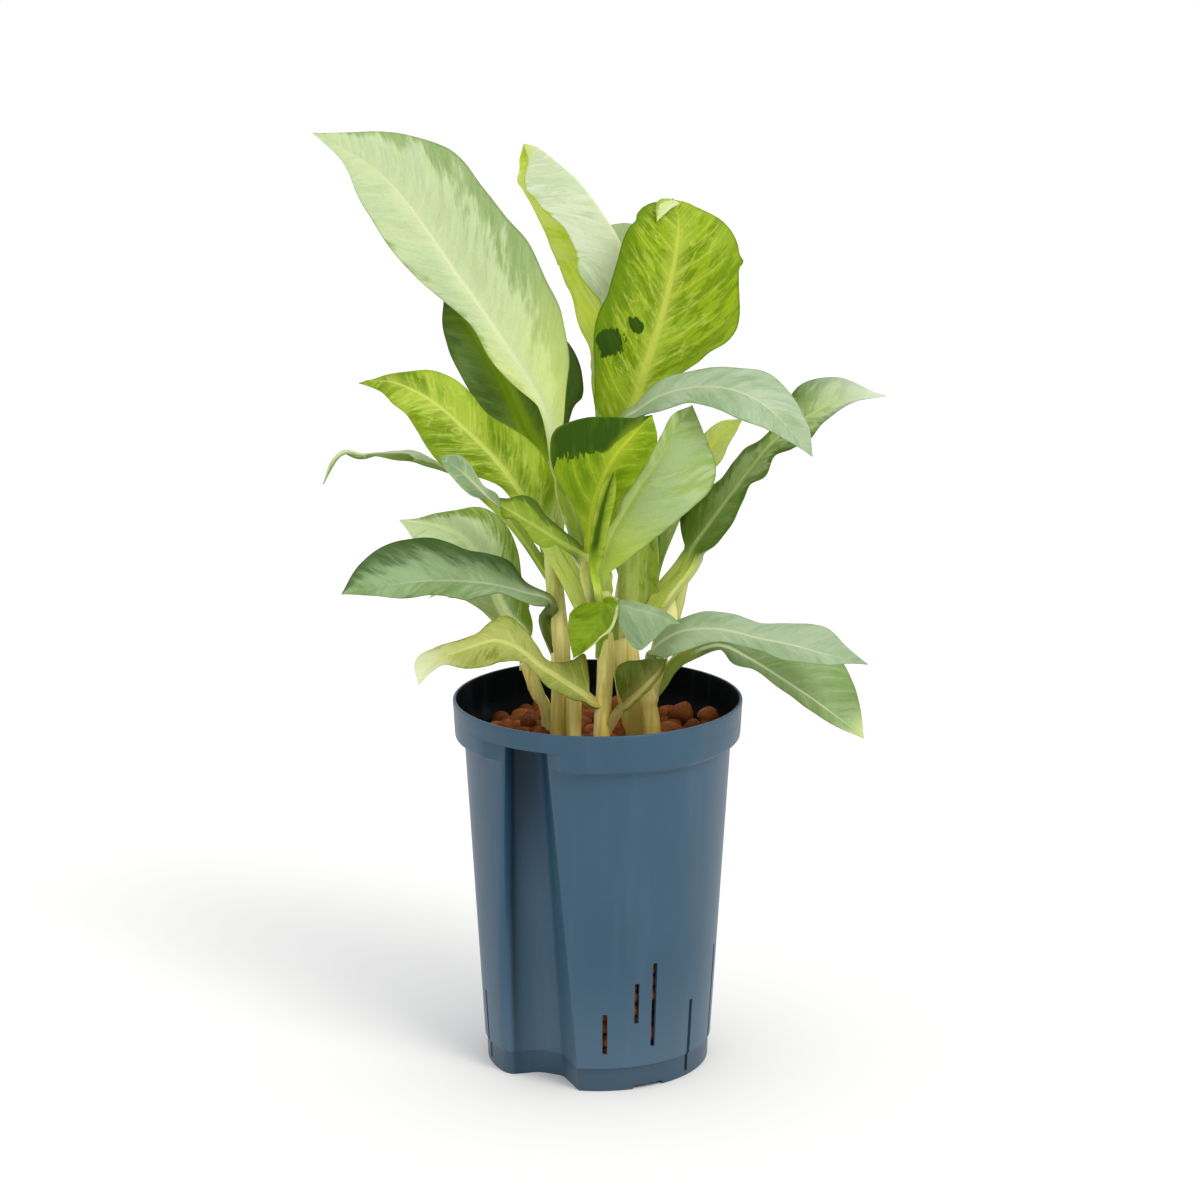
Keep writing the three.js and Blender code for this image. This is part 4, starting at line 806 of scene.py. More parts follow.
limeUnder = {
    "main": (178, 200, 96), "second": (164, 188, 76), "margin": (166, 190, 76), "rib": (216, 226, 134),
    "base": (172, 192, 84), "stalk": (184, 200, 104), "stalkBand": (160, 184, 70), "patchStrength": 0.5,
    "veins": 0.35, "ribWidth": 0.16,
}
dark = {
    "main": (84, 114, 36), "second": (66, 96, 20), "third": (94, 126, 62), "margin": (72, 104, 26),
    "rib": (136, 168, 34), "base": (104, 136, 34), "stalk": (158, 178, 76), "stalkBand": (124, 152, 40),
    "marginWidth": (0.2, 0.2), "marginStrength": 0.5, "patchy": 0.4, "veins": 0.08, "gloss": 0.2,
}
darkUnder = {
    "main": (112, 136, 60), "second": (98, 124, 44), "margin": (92, 118, 40), "rib": (160, 180, 90),
    "base": (120, 144, 60), "stalk": (150, 166, 80), "stalkBand": (128, 150, 60), "veins": 0.15,
}
# blue-grey blades: the grey-blue is partly the blade's own colour and partly a painted sheen, the sky's
# reflection on its waxy upper face
blue = {
    "main": (190, 209, 182), "second": (176, 198, 168), "third": (200, 216, 196), "margin": (164, 190, 154),
    "fringe": (140, 168, 124), "rib": (214, 226, 194), "base": (140, 168, 124), "stalk": (176, 196, 118),
    "stalkBand": (150, 178, 84), "marginWidth": (0.14, 0.16), "marginSoft": 0.25, "patchy": 0.35,
    "gloss": 0.3, "rough": 0.36, "veins": 0.06, "laterals": 0.12, "ribWidth": 0.07, "glow": 0.16,
    "ribFade": 0.7,
}
blueUnder = {**silverUnder, "main": (154, 178, 132), "second": (138, 166, 114), "base": (136, 160, 96)}

leafLooks = {
    "leaf_tall_left": (silver, silverUnder, {
        "ribWidth": 0.1, "glow": 0.42, "marginWidth": (0.18, 0.52), "baseReach": 0.5,
        "base": (238, 250, 150), "margin": (158, 184, 132), "fringe": (138, 168, 104), "patchy": 0.45,
        "thirdStrength": 0.7, "marginStrength": 0.95, "marginSoft": 0.3, "feather": 0.3, "wander": 1.2,
        "spacing": 8, "laterals": 0.12, "fringeStrength": 0.5, "marginLean": 0.6,
    }, {}),
    "leaf_dark_behind": (dark, darkUnder, {
        "main": (94, 126, 46), "second": (68, 100, 22), "third": (110, 142, 84), "rib": (158, 192, 16),
        "ribWidth": 0.42, "glow": 0.6, "glowWidth": 1.2, "ribFade": 0.6, "blotch": 0.5, "streaky": 0.2,
    }, {}),
    "leaf_folded_top": (lime, silverUnder, {
        "blunt": (23, 0.9), "main": (232, 250, 96), "second": (208, 234, 64), "third": (238, 250, 150),
        "margin": (216, 236, 90), "rib": (226, 236, 130), "edging": 0.2,
    }, {
        "main": (222, 234, 218), "second": (204, 220, 190), "third": (186, 206, 170),
        "thirdStrength": 0.6, "margin": (178, 202, 64), "base": (182, 204, 80), "rib": (236, 242, 216),
        "baseReach": 0.42, "baseStrength": 0.8, "marginWidth": (0.22, 0.05), "feather": 0.12,
        "wander": 0.4, "marginSoft": 0.06, "marginStrength": 0.9, "tip": (206, 222, 120),
        "tipStart": 0.93,
    }),
    "leaf_pale_behind": (silver, silverUnder, {
        "wider": [(0.86, 0.08, 1.15, -1)], "main": (192, 209, 172), "second": (182, 202, 160),
    }, {}),
    "leaf_lime_right": (lime, limeUnder, {
        "main": (150, 180, 22), "second": (112, 146, 2), "ribWidth": 0.22, "glow": 0.5, "glowWidth": 0.8,
        "thirdStrength": 0.6, "marginWidth": (0.6, 0.06), "margin": (102, 137, 3), "marginSoft": 0.5,
        "wander": 1.2, "marginStrength": 0.9, "laterals": 0.5, "veins": 0.5, "spacing": 12,
        "streaky": 0.15, "blotch": 0.5, "between": 0.16, "crisp": 0.1, "quilt": 0.6,
        "wider": [(0.77, 0.016, 0.08, 1), (0.91, 0.03, -0.09, -1)], "blunt": (16, 0.91),
        "lifted": [(0.972, 0.024, 4)],
        # the two dark patches are painted shadows that the leaves in front cast on the backlit blade
        "patches": [((0.335, -0.71), (0.058, 0.25), (46, 76, 2), 1.6, 0.07),
            ((0.435, -0.36), (0.028, 0.15), (50, 80, 3), 1.2, -0.115)],
    }, {}),
    "leaf_grey_arch": (blue, blueUnder, {
        "main": (168, 191, 164), "second": (144, 171, 136), "third": (188, 207, 194), "ribStrength": 0.6,
        "margin": (146, 176, 134), "patchy": 0.5, "baseReach": 0.32, "baseStrength": 0.8,
        "stalk": (124, 156, 36), "stalkBand": (78, 114, 14), "stalkWide": 1.7,
    }, {
        "stalk": (124, 156, 36), "stalkBand": (78, 114, 14),
    }),
    "leaf_wavy_right": (blue, blueUnder, {
        "blotch": 0.4, "streaky": 0.25, "main": (162, 188, 122), "second": (116, 149, 66),
        "third": (190, 210, 160), "patchy": 0.6, "patchStrength": 0.85, "margin": (88, 121, 42),
        "fringe": (70, 104, 26), "marginWidth": (0.5, 0.4), "base": (98, 134, 28), "baseReach": 0.62,
        "baseStrength": 0.85, "tip": (212, 226, 214), "tipStart": 0.66, "rib": (196, 214, 134),
        "ribWidth": 0.13, "stalk": (208, 226, 100), "stalkBand": (228, 232, 160), "stalkWide": 1.35,
        "quilt": 0.45,
    }, {}),
    "leaf_young_right": (lime, limeUnder, {
        "main": (186, 201, 113), "second": (172, 192, 92), "third": (200, 212, 140),
        "stalk": (186, 206, 130), "stalkBand": (150, 180, 80),
    }, {}),
    "leaf_centre": (silver, silverUnder, {
        "main": (186, 208, 156), "second": (158, 188, 104), "third": (172, 198, 152), "crisp": 0.14,
        "margin": (146, 177, 98), "fringe": (130, 162, 78), "base": (184, 208, 70), "baseReach": 0.6,
        "baseStrength": 0.92, "rib": (192, 210, 116), "ribWidth": 0.1, "ribFade": 0.35, "glow": 0.3,
        "patchy": 0.6, "patchStrength": 0.85, "thirdStrength": 0.9, "marginWidth": (0.2, 0.16),
        "stalk": (214, 232, 124), "stalkBand": (224, 234, 150), "stalkWide": 1.6,
    }, {}),
    "leaf_bent_front": (lime, limeUnder, {
        "main": (130, 162, 12), "second": (108, 142, 3), "third": (146, 174, 30), "rib": (192, 208, 62),
        "ribWidth": 0.14, "glow": 0.5, "veins": 0.22, "cap": (0.47, 0.23, -0.13, (52, 83, 3)),
        "base": (150, 178, 40),
    }, {}),
    "leaf_lime_left": (lime, limeUnder, {
        "blotch": 0.4, "streaky": 0.25, "main": (134, 164, 24), "second": (108, 140, 8),
        "third": (176, 199, 70), "patchy": 0.55, "rib": (210, 224, 112), "ribWidth": 0.13, "glow": 0.35,
        "thirdStrength": 0.8, "veins": 0.45, "laterals": 0.3, "base": (216, 230, 126), "baseReach": 0.16,
        "baseStrength": 0.9, "stalk": (222, 242, 118), "stalkBand": (236, 246, 156), "stalkWide": 1.25,
    }, {}),
    "leaf_edge_on": (silver, darkUnder, {
        "main": (214, 230, 194), "margin": (138, 164, 76), "marginWidth": (0.3, 0.0), "marginSoft": 0.1,
        "feather": 0.3, "wander": 0.5, "base": (160, 188, 62), "baseReach": 0.42, "baseStrength": 0.9,
        "stalk": (176, 200, 80), "patches": [((0.52, -0.75), (0.13, 0.55), (104, 130, 28), 0.5, 0)],
    }, {
        "main": (190, 208, 160), "second": (150, 176, 92), "base": (140, 168, 50), "baseReach": 0.5,
        "stalk": (176, 200, 80), "patches": [((0.52, -0.75), (0.13, 0.55), (104, 130, 28), 0.5, 0)],
    }),
    "leaf_twisted": (dark, blueUnder, {
        "main": (122, 152, 8), "second": (98, 130, 4), "third": (140, 166, 40), "margin": (74, 106, 20),
        "marginWidth": (0.1, 0.5), "marginStrength": 0.85, "rib": (196, 208, 110), "ribWidth": 0.1,
        "ribStrength": 0.5, "glow": 0.15, "stalk": (226, 228, 156), "stalkBand": (204, 214, 104),
        "stalkWide": 1.7,
    }, {
        "main": (134, 163, 128), "second": (116, 147, 104), "veins": 0.06, "stalk": (212, 214, 150),
    }),
    "leaf_rolled": (lime, limeUnder, {
        "main": (184, 208, 74), "second": (150, 182, 36), "rib": (78, 110, 24), "ribWidth": 0.26,
        "glow": 0.6, "glowWidth": 0.5, "ribFade": 0.95, "ribStart": 0.3, "laterals": 0.1, "veins": 0.0,
        "base": (212, 236, 88), "stalk": (220, 238, 120),
    }, {}),
    # the upper face's main and rib colours go above 255: painted light that lifts the blade out of the
    # shade it lies in
    "leaf_back_left": (silver, silverUnder, {
        "main": (246, 264, 226), "second": (190, 216, 130), "third": (232, 250, 220),
        "rib": (266, 284, 236), "ribWidth": 0.3, "ribFade": 0.95, "ribStrength": 0.95, "glow": 0.2,
        "margin": (166, 198, 96), "fringe": (136, 170, 52), "marginWidth": (0.14, 0.6), "marginSoft": 0.4,
        "blotch": 0.5, "streaky": 0.25, "base": (128, 164, 14), "baseReach": 0.7, "baseStrength": 0.9,
    }, {
        "main": (218, 236, 202), "second": (170, 198, 112), "rib": (255, 255, 236), "ribWidth": 0.3,
        "ribFade": 0.95, "ribStrength": 1.0, "glow": 0.15, "veins": 0.08, "laterals": 0.1,
        "margin": (150, 182, 76), "marginWidth": (0.3, 0.2), "marginStrength": 0.8,
        "base": (150, 180, 60), "baseReach": 0.42, "patchStrength": 0.8, "blotch": 0.5,
    }),
    "leaf_silver_left": (blue, blueUnder, {
        "main": (134, 163, 110), "second": (108, 138, 76), "third": (156, 182, 148),
        "margin": (66, 97, 38), "fringe": (54, 84, 26), "marginWidth": (0.12, 0.74),
        "marginStrength": 0.9, "marginSoft": 0.6, "feather": 0.25, "wander": 0.9, "fringeStrength": 0.5,
        "base": (88, 112, 36), "baseReach": 0.3, "rib": (206, 222, 194), "ribStrength": 0.45,
        "ribFade": 0.3, "ribWidth": 0.05, "laterals": 0.05, "stalk": (90, 108, 30),
        "stalkBand": (70, 88, 18),
    }, {
        "main": (92, 112, 34), "second": (78, 98, 24), "stalk": (90, 108, 30),
    }),
    "leaf_low_left": (silver, limeUnder, {
        "main": (166, 174, 98), "second": (128, 138, 44), "third": (186, 194, 124), "blotch": 0.6,
        "streaky": 0.25, "margin": (140, 154, 56), "fringe": (116, 132, 36), "thirdStrength": 0.8,
        "base": (116, 126, 26), "baseReach": 0.6, "baseStrength": 0.75, "patchStrength": 0.85,
        "tip": (240, 248, 220), "tipStart": 0.74, "rib": (214, 216, 136), "ribWidth": 0.14,
        "stalk": (196, 186, 106), "stalkBand": (176, 168, 84),
    }, {
        "main": (164, 170, 78), "second": (146, 152, 58),
    }),
    "leaf_front_nod": (blue, blueUnder, {
        "main": (134, 162, 124), "second": (118, 149, 102), "third": (152, 178, 144),
        "base": (168, 190, 146), "baseReach": 0.4, "ribStrength": 0.15, "glow": 0.1,
        "stalk": (150, 176, 70),
    }, {}),
    "leaf_front_dome": (lime, limeUnder, {
        "main": (116, 146, 12), "second": (94, 126, 6), "third": (138, 166, 44),
        # the pale band along the left margin is a painted highlight where the turned edge catches the light
        "margin": (206, 216, 150), "marginWidth": (0.22, 0.0), "marginStrength": 0.95, "marginSoft": 0.08,
        "feather": 0.15, "wander": 0.15, "edging": 0.0, "rib": (140, 168, 44), "ribStrength": 0.2,
        "glow": 0.0, "veins": 0.2, "stalk": (150, 174, 60),
    }, {}),
    "leaf_low_right": (blue, blueUnder, {
        "main": (156, 180, 152), "second": (136, 164, 122), "third": (174, 194, 172),
        "margin": (152, 178, 130), "rib": (208, 222, 194), "ribWidth": 0.09, "base": (146, 172, 112),
        "baseReach": 0.35, "glow": 0.2,
    }, {}),
    "leaf_hanging_right": (blue, blueUnder, {
        "main": (130, 161, 98), "second": (108, 141, 68), "third": (156, 184, 132),
        "margin": (104, 134, 66), "base": (70, 102, 34), "baseReach": 0.55, "baseStrength": 0.92,
        "tip": (200, 216, 148), "stalk": (158, 170, 74),
    }, {}),
    "leaf_small_front": (dark, darkUnder, {
        "main": (74, 88, 8), "second": (88, 102, 14), "third": (96, 112, 30), "laterals": 0.1,
        "base": (130, 130, 48), "baseReach": 0.25, "rib": (196, 184, 112), "ribWidth": 0.16,
        "stalk": (206, 190, 124), "stalkBand": (180, 166, 96),
    }, {}),
    "leaf_rear_middle": (silver, silverUnder, {
        "main": (178, 200, 146), "second": (166, 190, 128),
    }, {}),
    "leaf_rear_left": (silver, silverUnder, {}, {}),
    "leaf_rear_tall": (silver, silverUnder, {
        "main": (198, 216, 172),
    }, {}),
    "leaf_rear_right": (blue, blueUnder, {}, {}),
    "leaf_rear_low": (silver, silverUnder, {
        "main": (186, 206, 158),
    }, {}),
}

# Sheaths and furled blades between the stalks, and the turned-over tip of the broad lime leaf.
sheath = {
    "main": (186, 206, 104), "second": (160, 186, 66), "third": (212, 220, 150), "margin": (206, 218, 150),
    "rib": (214, 222, 150), "base": (208, 208, 130), "stalk": (206, 204, 128), "stalkBand": (186, 196, 92),
    "marginWidth": (0.2, 0.2), "marginSoft": 0.2, "patchy": 0.5, "laterals": 0.0, "veins": 0.0,
    "quilt": 0.0,
    "baseReach": 0.5, "glow": 0.1, "ribStrength": 0.3, "edging": 0.3, "lengthwise": True,
}
sheathForms = [
    {
        "name": "furledCrown",
        "path": [[-4.9, -18, 268], [-8.4, -21, 284], [-12.5, -23, 299], [-17, -23, 311], [-21, -20, 322]],
        "stalk": 0.1, "stalkRadius": 1.6, "left": [3, 6.5, 7.5, 6, 0], "right": [3, 8, 13, 13, 0],
        "face": [[0.3, -1, 0.1], [0.3, -1, 0.1]], "fold": [10, 30], "curl": [30, -30],
        "wave": [0.5, 1, 0],
    },
    {
        "name": "sheathMiddle",
        "path": [[15.6, -6, 229], [16, -8, 246], [16, -10, 264], [17.5, -12, 280], [20, -13, 292]],
        "stalk": 0.02, "stalkRadius": 1.4, "left": [4, 5.5, 6, 5, 0], "right": [4, 6, 6.5, 5, 0],
        "face": [[0.1, -1, 0.1], [0.1, -1, 0.1]], "fold": [-10, -10], "curl": [-35, -35],
        "wave": [0.3, 1, 0],
    },
    {
        "name": "sheathInner",
        "path": [[25, 0, 234], [25.5, -3, 250], [25, -6, 266], [26.5, -8, 282], [30, -9, 296]],
        "stalk": 0.02, "stalkRadius": 1.4, "left": [4, 6.5, 6.5, 4.5, 0], "right": [4, 6, 7.5, 5, 0],
        "face": [[-0.1, -1, 0.1], [-0.1, -1, 0.1]], "fold": [15, 15], "curl": [20, 20],
        "wave": [0.4, 1, 0.3],
    },
    {
        "name": "sheathRight",
        "path": [[34.5, -8, 222], [38.4, -7, 240], [42.4, -6, 255], [45.6, -4, 266], [48.4, -2, 274]],
        "stalk": 0.02, "stalkRadius": 1.4, "left": [4, 6, 6, 4.5, 0], "right": [3, 4.5, 4.5, 3, 0],
        "face": [[-0.3, -1, 0.1], [-0.3, -1, 0.2]], "fold": [-15, -15], "curl": [-40, -40],
        "wave": [0.2, 1, 0],
    },
    {
        "name": "sheathSliver",
        "path": [[-25, -10, 180], [-27.5, -11, 194], [-30.5, -11, 206], [-33, -10, 214]], "stalk": 0.02,
        "stalkRadius": 1.0, "left": [1.5, 2.4, 1.6, 0], "right": [1.5, 2.4, 1.6, 0],
        "face": [[0, -1, 0.2], [0, -1, 0.2]], "fold": [-20, -20], "curl": [-30, -30], "wave": [0, 1, 0],
    },
    {
        "name": "turnedTip",
        "path": [[40.7, 7, 450.6], [36.7, 4.5, 449], [33.2, 2.2, 446.4], [29.7, 0.8, 442]], "stalk": 0.02,
        "stalkRadius": 0.5, "left": [0.8, 1, 1.3, 1, 0], "right": [0.8, 4.4, 6.2, 3.6, 0],
        "face": [[0.1, -1, 0.2], [0, -1, 0.1]], "fold": [0, 5], "curl": [-20, -25], "wave": [0.2, 1, 0],
    },
]
leafLooks.update({
    "furledCrown": (sheath, sheath, {
        "main": (160, 190, 60), "second": (120, 154, 26), "margin": (216, 228, 176),
        "marginWidth": (0.3, 0.2), "base": (176, 200, 76),
    }, {}),
    "sheathMiddle": (sheath, sheath, {}, {}),
    "sheathInner": (sheath, sheath, {
        "main": (176, 202, 74), "second": (112, 148, 26), "third": (196, 214, 104),
        "base": (190, 208, 84), "patchStrength": 0.9, "crisp": 0.08,
    }, {}),
    "sheathRight": (sheath, sheath, {
        "main": (214, 208, 150), "second": (196, 200, 110), "margin": (206, 186, 140),
        "base": (206, 194, 120),
    }, {}),
    "sheathSliver": (sheath, sheath, {
        "main": (216, 204, 130), "second": (200, 190, 106), "margin": (222, 214, 150),
        "base": (190, 172, 96),
    }, {}),
    "turnedTip": (silverUnder, limeUnder, {
        "main": (214, 228, 150), "margin": (146, 176, 40), "second": (196, 214, 120),
        "marginWidth": (0.4, 0.4), "marginStrength": 0.9,
    }, {}),
})

slots = {s["node"]: s["material_slot"] for s in frame["record"].get("subparts", [])}
for number, form in enumerate(leafForms + sheathForms):
    upperLook, underLook, upperOwn, underOwn = leafLooks[form["name"]]
    upperLook, underLook = {**upperLook, **upperOwn}, {**underLook, **underOwn}
    top, bottom, uv, cm = leafSurface(form, upperLook)
    quads, paint = leafBody(top)
    seed = np.full(cm.shape[:2] + (1,), 11.3 * number + 2.0)
    marks = np.concatenate([cm, seed], -1).reshape(-1, 3)
    name = "".join(word.capitalize() if i else word for i, word in enumerate(form["name"].split("_")))
    finishes = [leafFinish(name + "Upper", upperLook), leafFinish(name + "Under", underLook)]
    leaf = makePiece(name, np.vstack([top.reshape(-1, 3), bottom.reshape(-1, 3)]), quads, finishes, paint,
                     np.tile(uv.reshape(-1, 2), (2, 1)), {"leafCm": np.tile(marks, (2, 1))}, 50)
    if form["name"] in slots:
        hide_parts(form["name"])
print("leaves grown:", len(leafForms), "and", len(sheathForms), "sheaths")


# ---- canes
caneGrid = {
    "rows": 96, "around": 32, "ringSpacing": 17.0, "ringWidth": 0.7, "ringHeight": 0.06, "seed": 90,
    "seamDepth": 0.25, "seamWidth": 0.16, "seamClimb": 26,
}


def caneSurface(form, number):
    # Round sections along the curve. Radius = that of the table, swollen a little at leaf scars every
    # few millimetres, with a slow waver round it and a shallow seam that winds up like a sheath's edge.
    rows, around = caneGrid["rows"], caneGrid["around"]
    t = np.linspace(0, 1, rows)
    center, tangent, length = alongPath([p[:3] for p in form["line"]], t)
    place = np.r_[0, np.cumsum(np.linalg.norm(np.diff(np.array(form["line"])[:, :3], axis=0), axis=1))]
    radius = np.interp(t * length, place / place[-1] * length, [p[3] for p in form["line"]])
    s = t * length
    rng = np.random.default_rng(caneGrid["seed"] + number)
    scars = np.arange(6, length, caneGrid["ringSpacing"])
    scars = scars + rng.uniform(-3, 3, len(scars))
    ring = np.exp(-(((s[:, None] - scars[None]) / caneGrid["ringWidth"]) ** 2)).sum(1)
    turn = np.linspace(0, 2 * np.pi, around, endpoint=False)[None, :]
    phase = rng.uniform(0, 6, 4)
    waver = 0.03 * np.sin(2 * turn + phase[0] + s[:, None] / 17) + 0.015 * np.sin(5 * turn + phase[1] + s[:,
            None] / 9)
    seamAt = np.angle(np.exp(1j * (turn - phase[2] - s[:, None] / caneGrid["seamClimb"])))
    seam = -caneGrid["seamDepth"] * np.exp(-((seamAt / caneGrid["seamWidth"]) ** 2))
    seam = seam + 0.2 * smooth(seamAt, 0.1, 1.1) * (seamAt > 0)
    r = radius[:, None] * (1 + waver) + seam + caneGrid["ringHeight"] * ring[:, None]
    ends = np.minimum(1, np.minimum(s + 0.2, length - s + 0.6) / 1.6)[:, None]
    r = r * ends**0.5
    side = unit(np.cross(np.array([1.0, 0, 0]), tangent))
    other = np.cross(tangent, side)
    points = center[:, None] + side[:, None] * (r * np.cos(turn))[..., None]
    points = points + other[:, None] * (r * np.sin(turn))[..., None]
    marks = np.stack([np.broadcast_to(turn, r.shape), np.broadcast_to(s[:, None] / 10, r.shape),
                      np.broadcast_to(ring[:, None], r.shape)], -1)
    return points, marks


def caneFinish():
    # Cream skin, greener upwards and warmer near the granules, with fibres along it and brown scars.
    material, shader = newFinish("caneSkin", 0.4, 0.25)
    high = parts(objectPlace())[2]
    ring = parts(attribute("caneMark"))[2]
    fibre = noise(objectPlace((520, 520, 30)), 1.0, 3.0, 0.6)
    cloud = noise(objectPlace((60, 60, 30)), 1.0, 2.0)
    sheathEdge = noise(objectPlace((210, 210, 9)), 1.0, 3.0, 0.55, 0.4)
    color = layered(srgb((212, 188, 94)), (
        (step(high, 0.172, 0.2), 1, (234, 214, 128)), (step(high, 0.2, 0.235), 1, (236, 226, 146)),
        (step(high, 0.232, 0.262), 1, (206, 216, 124)), (step(fibre, 0.42, 0.7), 0.4, (186, 176, 84)),
        (step(cloud, 0.5, 0.75), 0.4, (200, 206, 110)), (step(sheathEdge, 0.5, 0.62), 0.55, (176, 160, 66)),
        (step(sheathEdge, 0.44, 0.36), 0.5, (232, 226, 170)), (ring, 0.12, (170, 150, 84)),
    ))
    wire(color, shader.inputs["Base Color"])
    relief(shader, fibre, 0.4, 0.0005)
    return material


def tubePiece(name, points, marks, finish):
    rows, around = points.shape[:2]
    quads = gridQuads(rows, around, 0, True)
    count = rows * around
    flat = np.vstack([points.reshape(-1, 3), points[0].mean(0), points[-1].mean(0)])
    i = np.arange(around)
    j = (i + 1) % around
    last = (rows - 1) * around
    faces = quads.tolist()
    faces += np.stack([j, i, np.full(around, count)], 1).tolist()
    faces += np.stack([last + i, last + j, np.full(around, count + 1)], 1).tolist()
    allMarks = np.vstack([marks.reshape(-1, 3), marks[0].mean(0), marks[-1].mean(0)])
    return makePiece(name, flat, faces, [finish], marks={"caneMark": allMarks}, sharp=45)


caneForms = [
    {
        "name": "stem_left",
        "line": [[-20, -10, 110, 4.4], [-20, -10, 175, 4.6], [-19, -9, 205, 4.7], [-19, -9, 225, 4.9],
            [-21, -7, 244, 4.8], [-23, -3, 268, 4.4], [-25, 2, 290, 2.4]],
    },
    {
        "name": "stem_stub", "line": [[-12, -17, 112, 3.4], [-12, -17, 176, 3.8], [-12, -16.5, 200, 3.6]],
    },
    {
        "name": "stem_centre",
        "line": [[2, -25, 110, 3.9], [2, -25, 179, 4.1], [3, -24, 200, 4], [4, -21, 226, 4.4],
            [3, -18, 251, 4.8], [1, -15, 276, 2.4]],
    },
    {
        "name": "stem_back",
        "line": [[20, 2, 110, 5.2], [20, 2, 172, 6.4], [17, 2, 198, 7.2], [14, 2, 219, 7.2],
            [14, 3, 241, 6], [16, 6, 262, 4.8], [18, 8, 286, 2.4]],
    },
    {
        "name": "stem_right",
        "line": [[28, -14, 110, 4.1], [28, -14, 176, 4.4], [26, -14, 194, 4.5], [26, -14, 198, 5.2],
            [27, -13, 202, 4.5], [31, -9, 217, 4.8], [37, -3, 239, 5.2], [42, 2, 260, 3.4]],
    },
    {
        "name": "stem_small",
        "line": [[-26, 4, 110, 2.8], [-26, 4, 180, 3.2], [-32, 6, 196, 3.1], [-38, 9, 212, 2.8]],
    },
]

caneSkin = caneFinish()
for number, form in enumerate(caneForms):
    points, marks = caneSurface(form, number)
    name = "cane" + form["name"].split("_")[1].capitalize()
    cane = tubePiece(name, points, marks, caneSkin)
    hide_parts(form["name"])
print("canes grown:", len(caneForms))


# ---- culture pot
potForm = {
    "bandBottom": 175, "bodyTop": 69, "bodyFoot": 59.5, "skirt": 58.4, "skirtHeight": 13,
    "wall": 1.9, "channelTop": 185, "slotHalfAngle": 1.165, "floorTop": 8,
    "channelAtFoot": [[-50.5, -31], [-44, -34], [-30, -30.5], [-18, -36], [-9, -58]],
    "channelAtTop": [[-46.5, -51], [-43, -41], [-35, -41.5], [-27.5, -46], [-25.5, -64.5]],
    "bandHeights": [174.2, 175.2, 175.9, 177, 194], "bandRadii": [73.2, 73.8, 74.0, 75.0],
    "innerBandHeights": [172, 178, 185], "innerBandRadii": [72.0, 72.6],
    "rimRows": [
        [185.05, 74.42, 186.95, 72.75], [186, 74.45, 187.4, 72.8], [189, 74.65, 189.4, 72.9],
        [193.6, 74.98, 193.6, 73.05], [194.5, 74.9, 194.5, 73.15], [195, 74.45, 194.95, 73.5],
    ],
    "innerFillet": [2.6, 1.6, 4.0, 3.4, 1.4], "outerFillet": [2.8, 2.0, 3.6, 3.0, 0.8],
    "slots": [
        [3.5, 21, 43], [19, 37, 59], [28, 23, 69], [52, 3, 43], [76, 14, 65], [100, 21, 43], [115, 37, 59],
        [125, 23, 69], [148, 3, 43], [176, 14, 65], [205, 21, 43], [220, 37, 59], [235, 23, 69],
        [262, 14, 65],
        [287, 3, 41],
    ],
    "notches": [27, 97, 167, 237], "notchHalfAngle": 8.4, "notchHeight": 2.2,
}


def insetCorners(corners, inset):
    # Each corner moved to where the two neighbouring lines meet once they are moved in by inset.
    p = np.array(corners, float)
    d = unit(np.diff(p, axis=0))
    n = np.stack([-d[:, 1], d[:, 0]], 1)
    moved = [p[0] + n[0] * inset]
    for k in range(1, len(p) - 1):
        bisector = unit((n[k - 1] + n[k])[None])[0]
        moved.append(p[k] + bisector * inset / max(0.35, float(bisector @ n[k])))
    moved.append(p[-1] + n[-1] * inset)
    return np.array(moved)


def channelColumns(z, radius, inset, fillets):
    # The channel's outline at one height, from its right edge to its left one: straight runs with each
    # corner rounded by a parabola, ends meeting the round wall of that radius.
    f = (min(z, potForm["channelTop"]) + 1) / (potForm["channelTop"] + 1)
    foot, top = np.array(potForm["channelAtFoot"], float), np.array(potForm["channelAtTop"], float)
    corners = insetCorners(foot + (top - foot) * f, inset)[::-1]
    fillets = fillets[::-1]

    def onWall(a, b):
        # where the line from b through a meets the round wall
        d = unit((a - b)[None])[0]
        q = float(b @ d)
        return b + d * (-q + np.sqrt(max(q * q - float(b @ b) + radius**2, 0.0)))

    corners[0] = onWall(corners[0], corners[1])
    corners[-1] = onWall(corners[-1], corners[-2])
    points = []
    w = np.linspace(0, 1, 7)[:, None]
    for k, corner in enumerate(corners):
        if k == 0 or k == len(corners) - 1:
            turn = fillets[k] / radius * (1 if k == 0 else -1)
            c, s = np.cos(turn), np.sin(turn)
            onArc = np.array([corner[0] * c - corner[1] * s, corner[0] * s + corner[1] * c])
            inner = corners[1] if k == 0 else corners[-2]
            onLine = corner + unit((inner - corner)[None])[0] * fillets[k]
            a, b = (onArc, onLine) if k == 0 else (onLine, onArc)
        else:
            a = corner + unit((corners[k - 1] - corner)[None])[0] * fillets[k]
            b = corner + unit((corners[k + 1] - corner)[None])[0] * fillets[k]
        points.append((1 - w) ** 2 * a + 2 * w * (1 - w) * corner + w**2 * b)
        if k + 1 < len(corners):
            follow = corners[k + 1] + unit((corner - corners[k + 1])[None])[0] * fillets[k + 1]
            run = np.linspace(0, 1, 5)[1:-1, None]
            points.append(b + (follow - b) * run)
    return np.vstack(points)


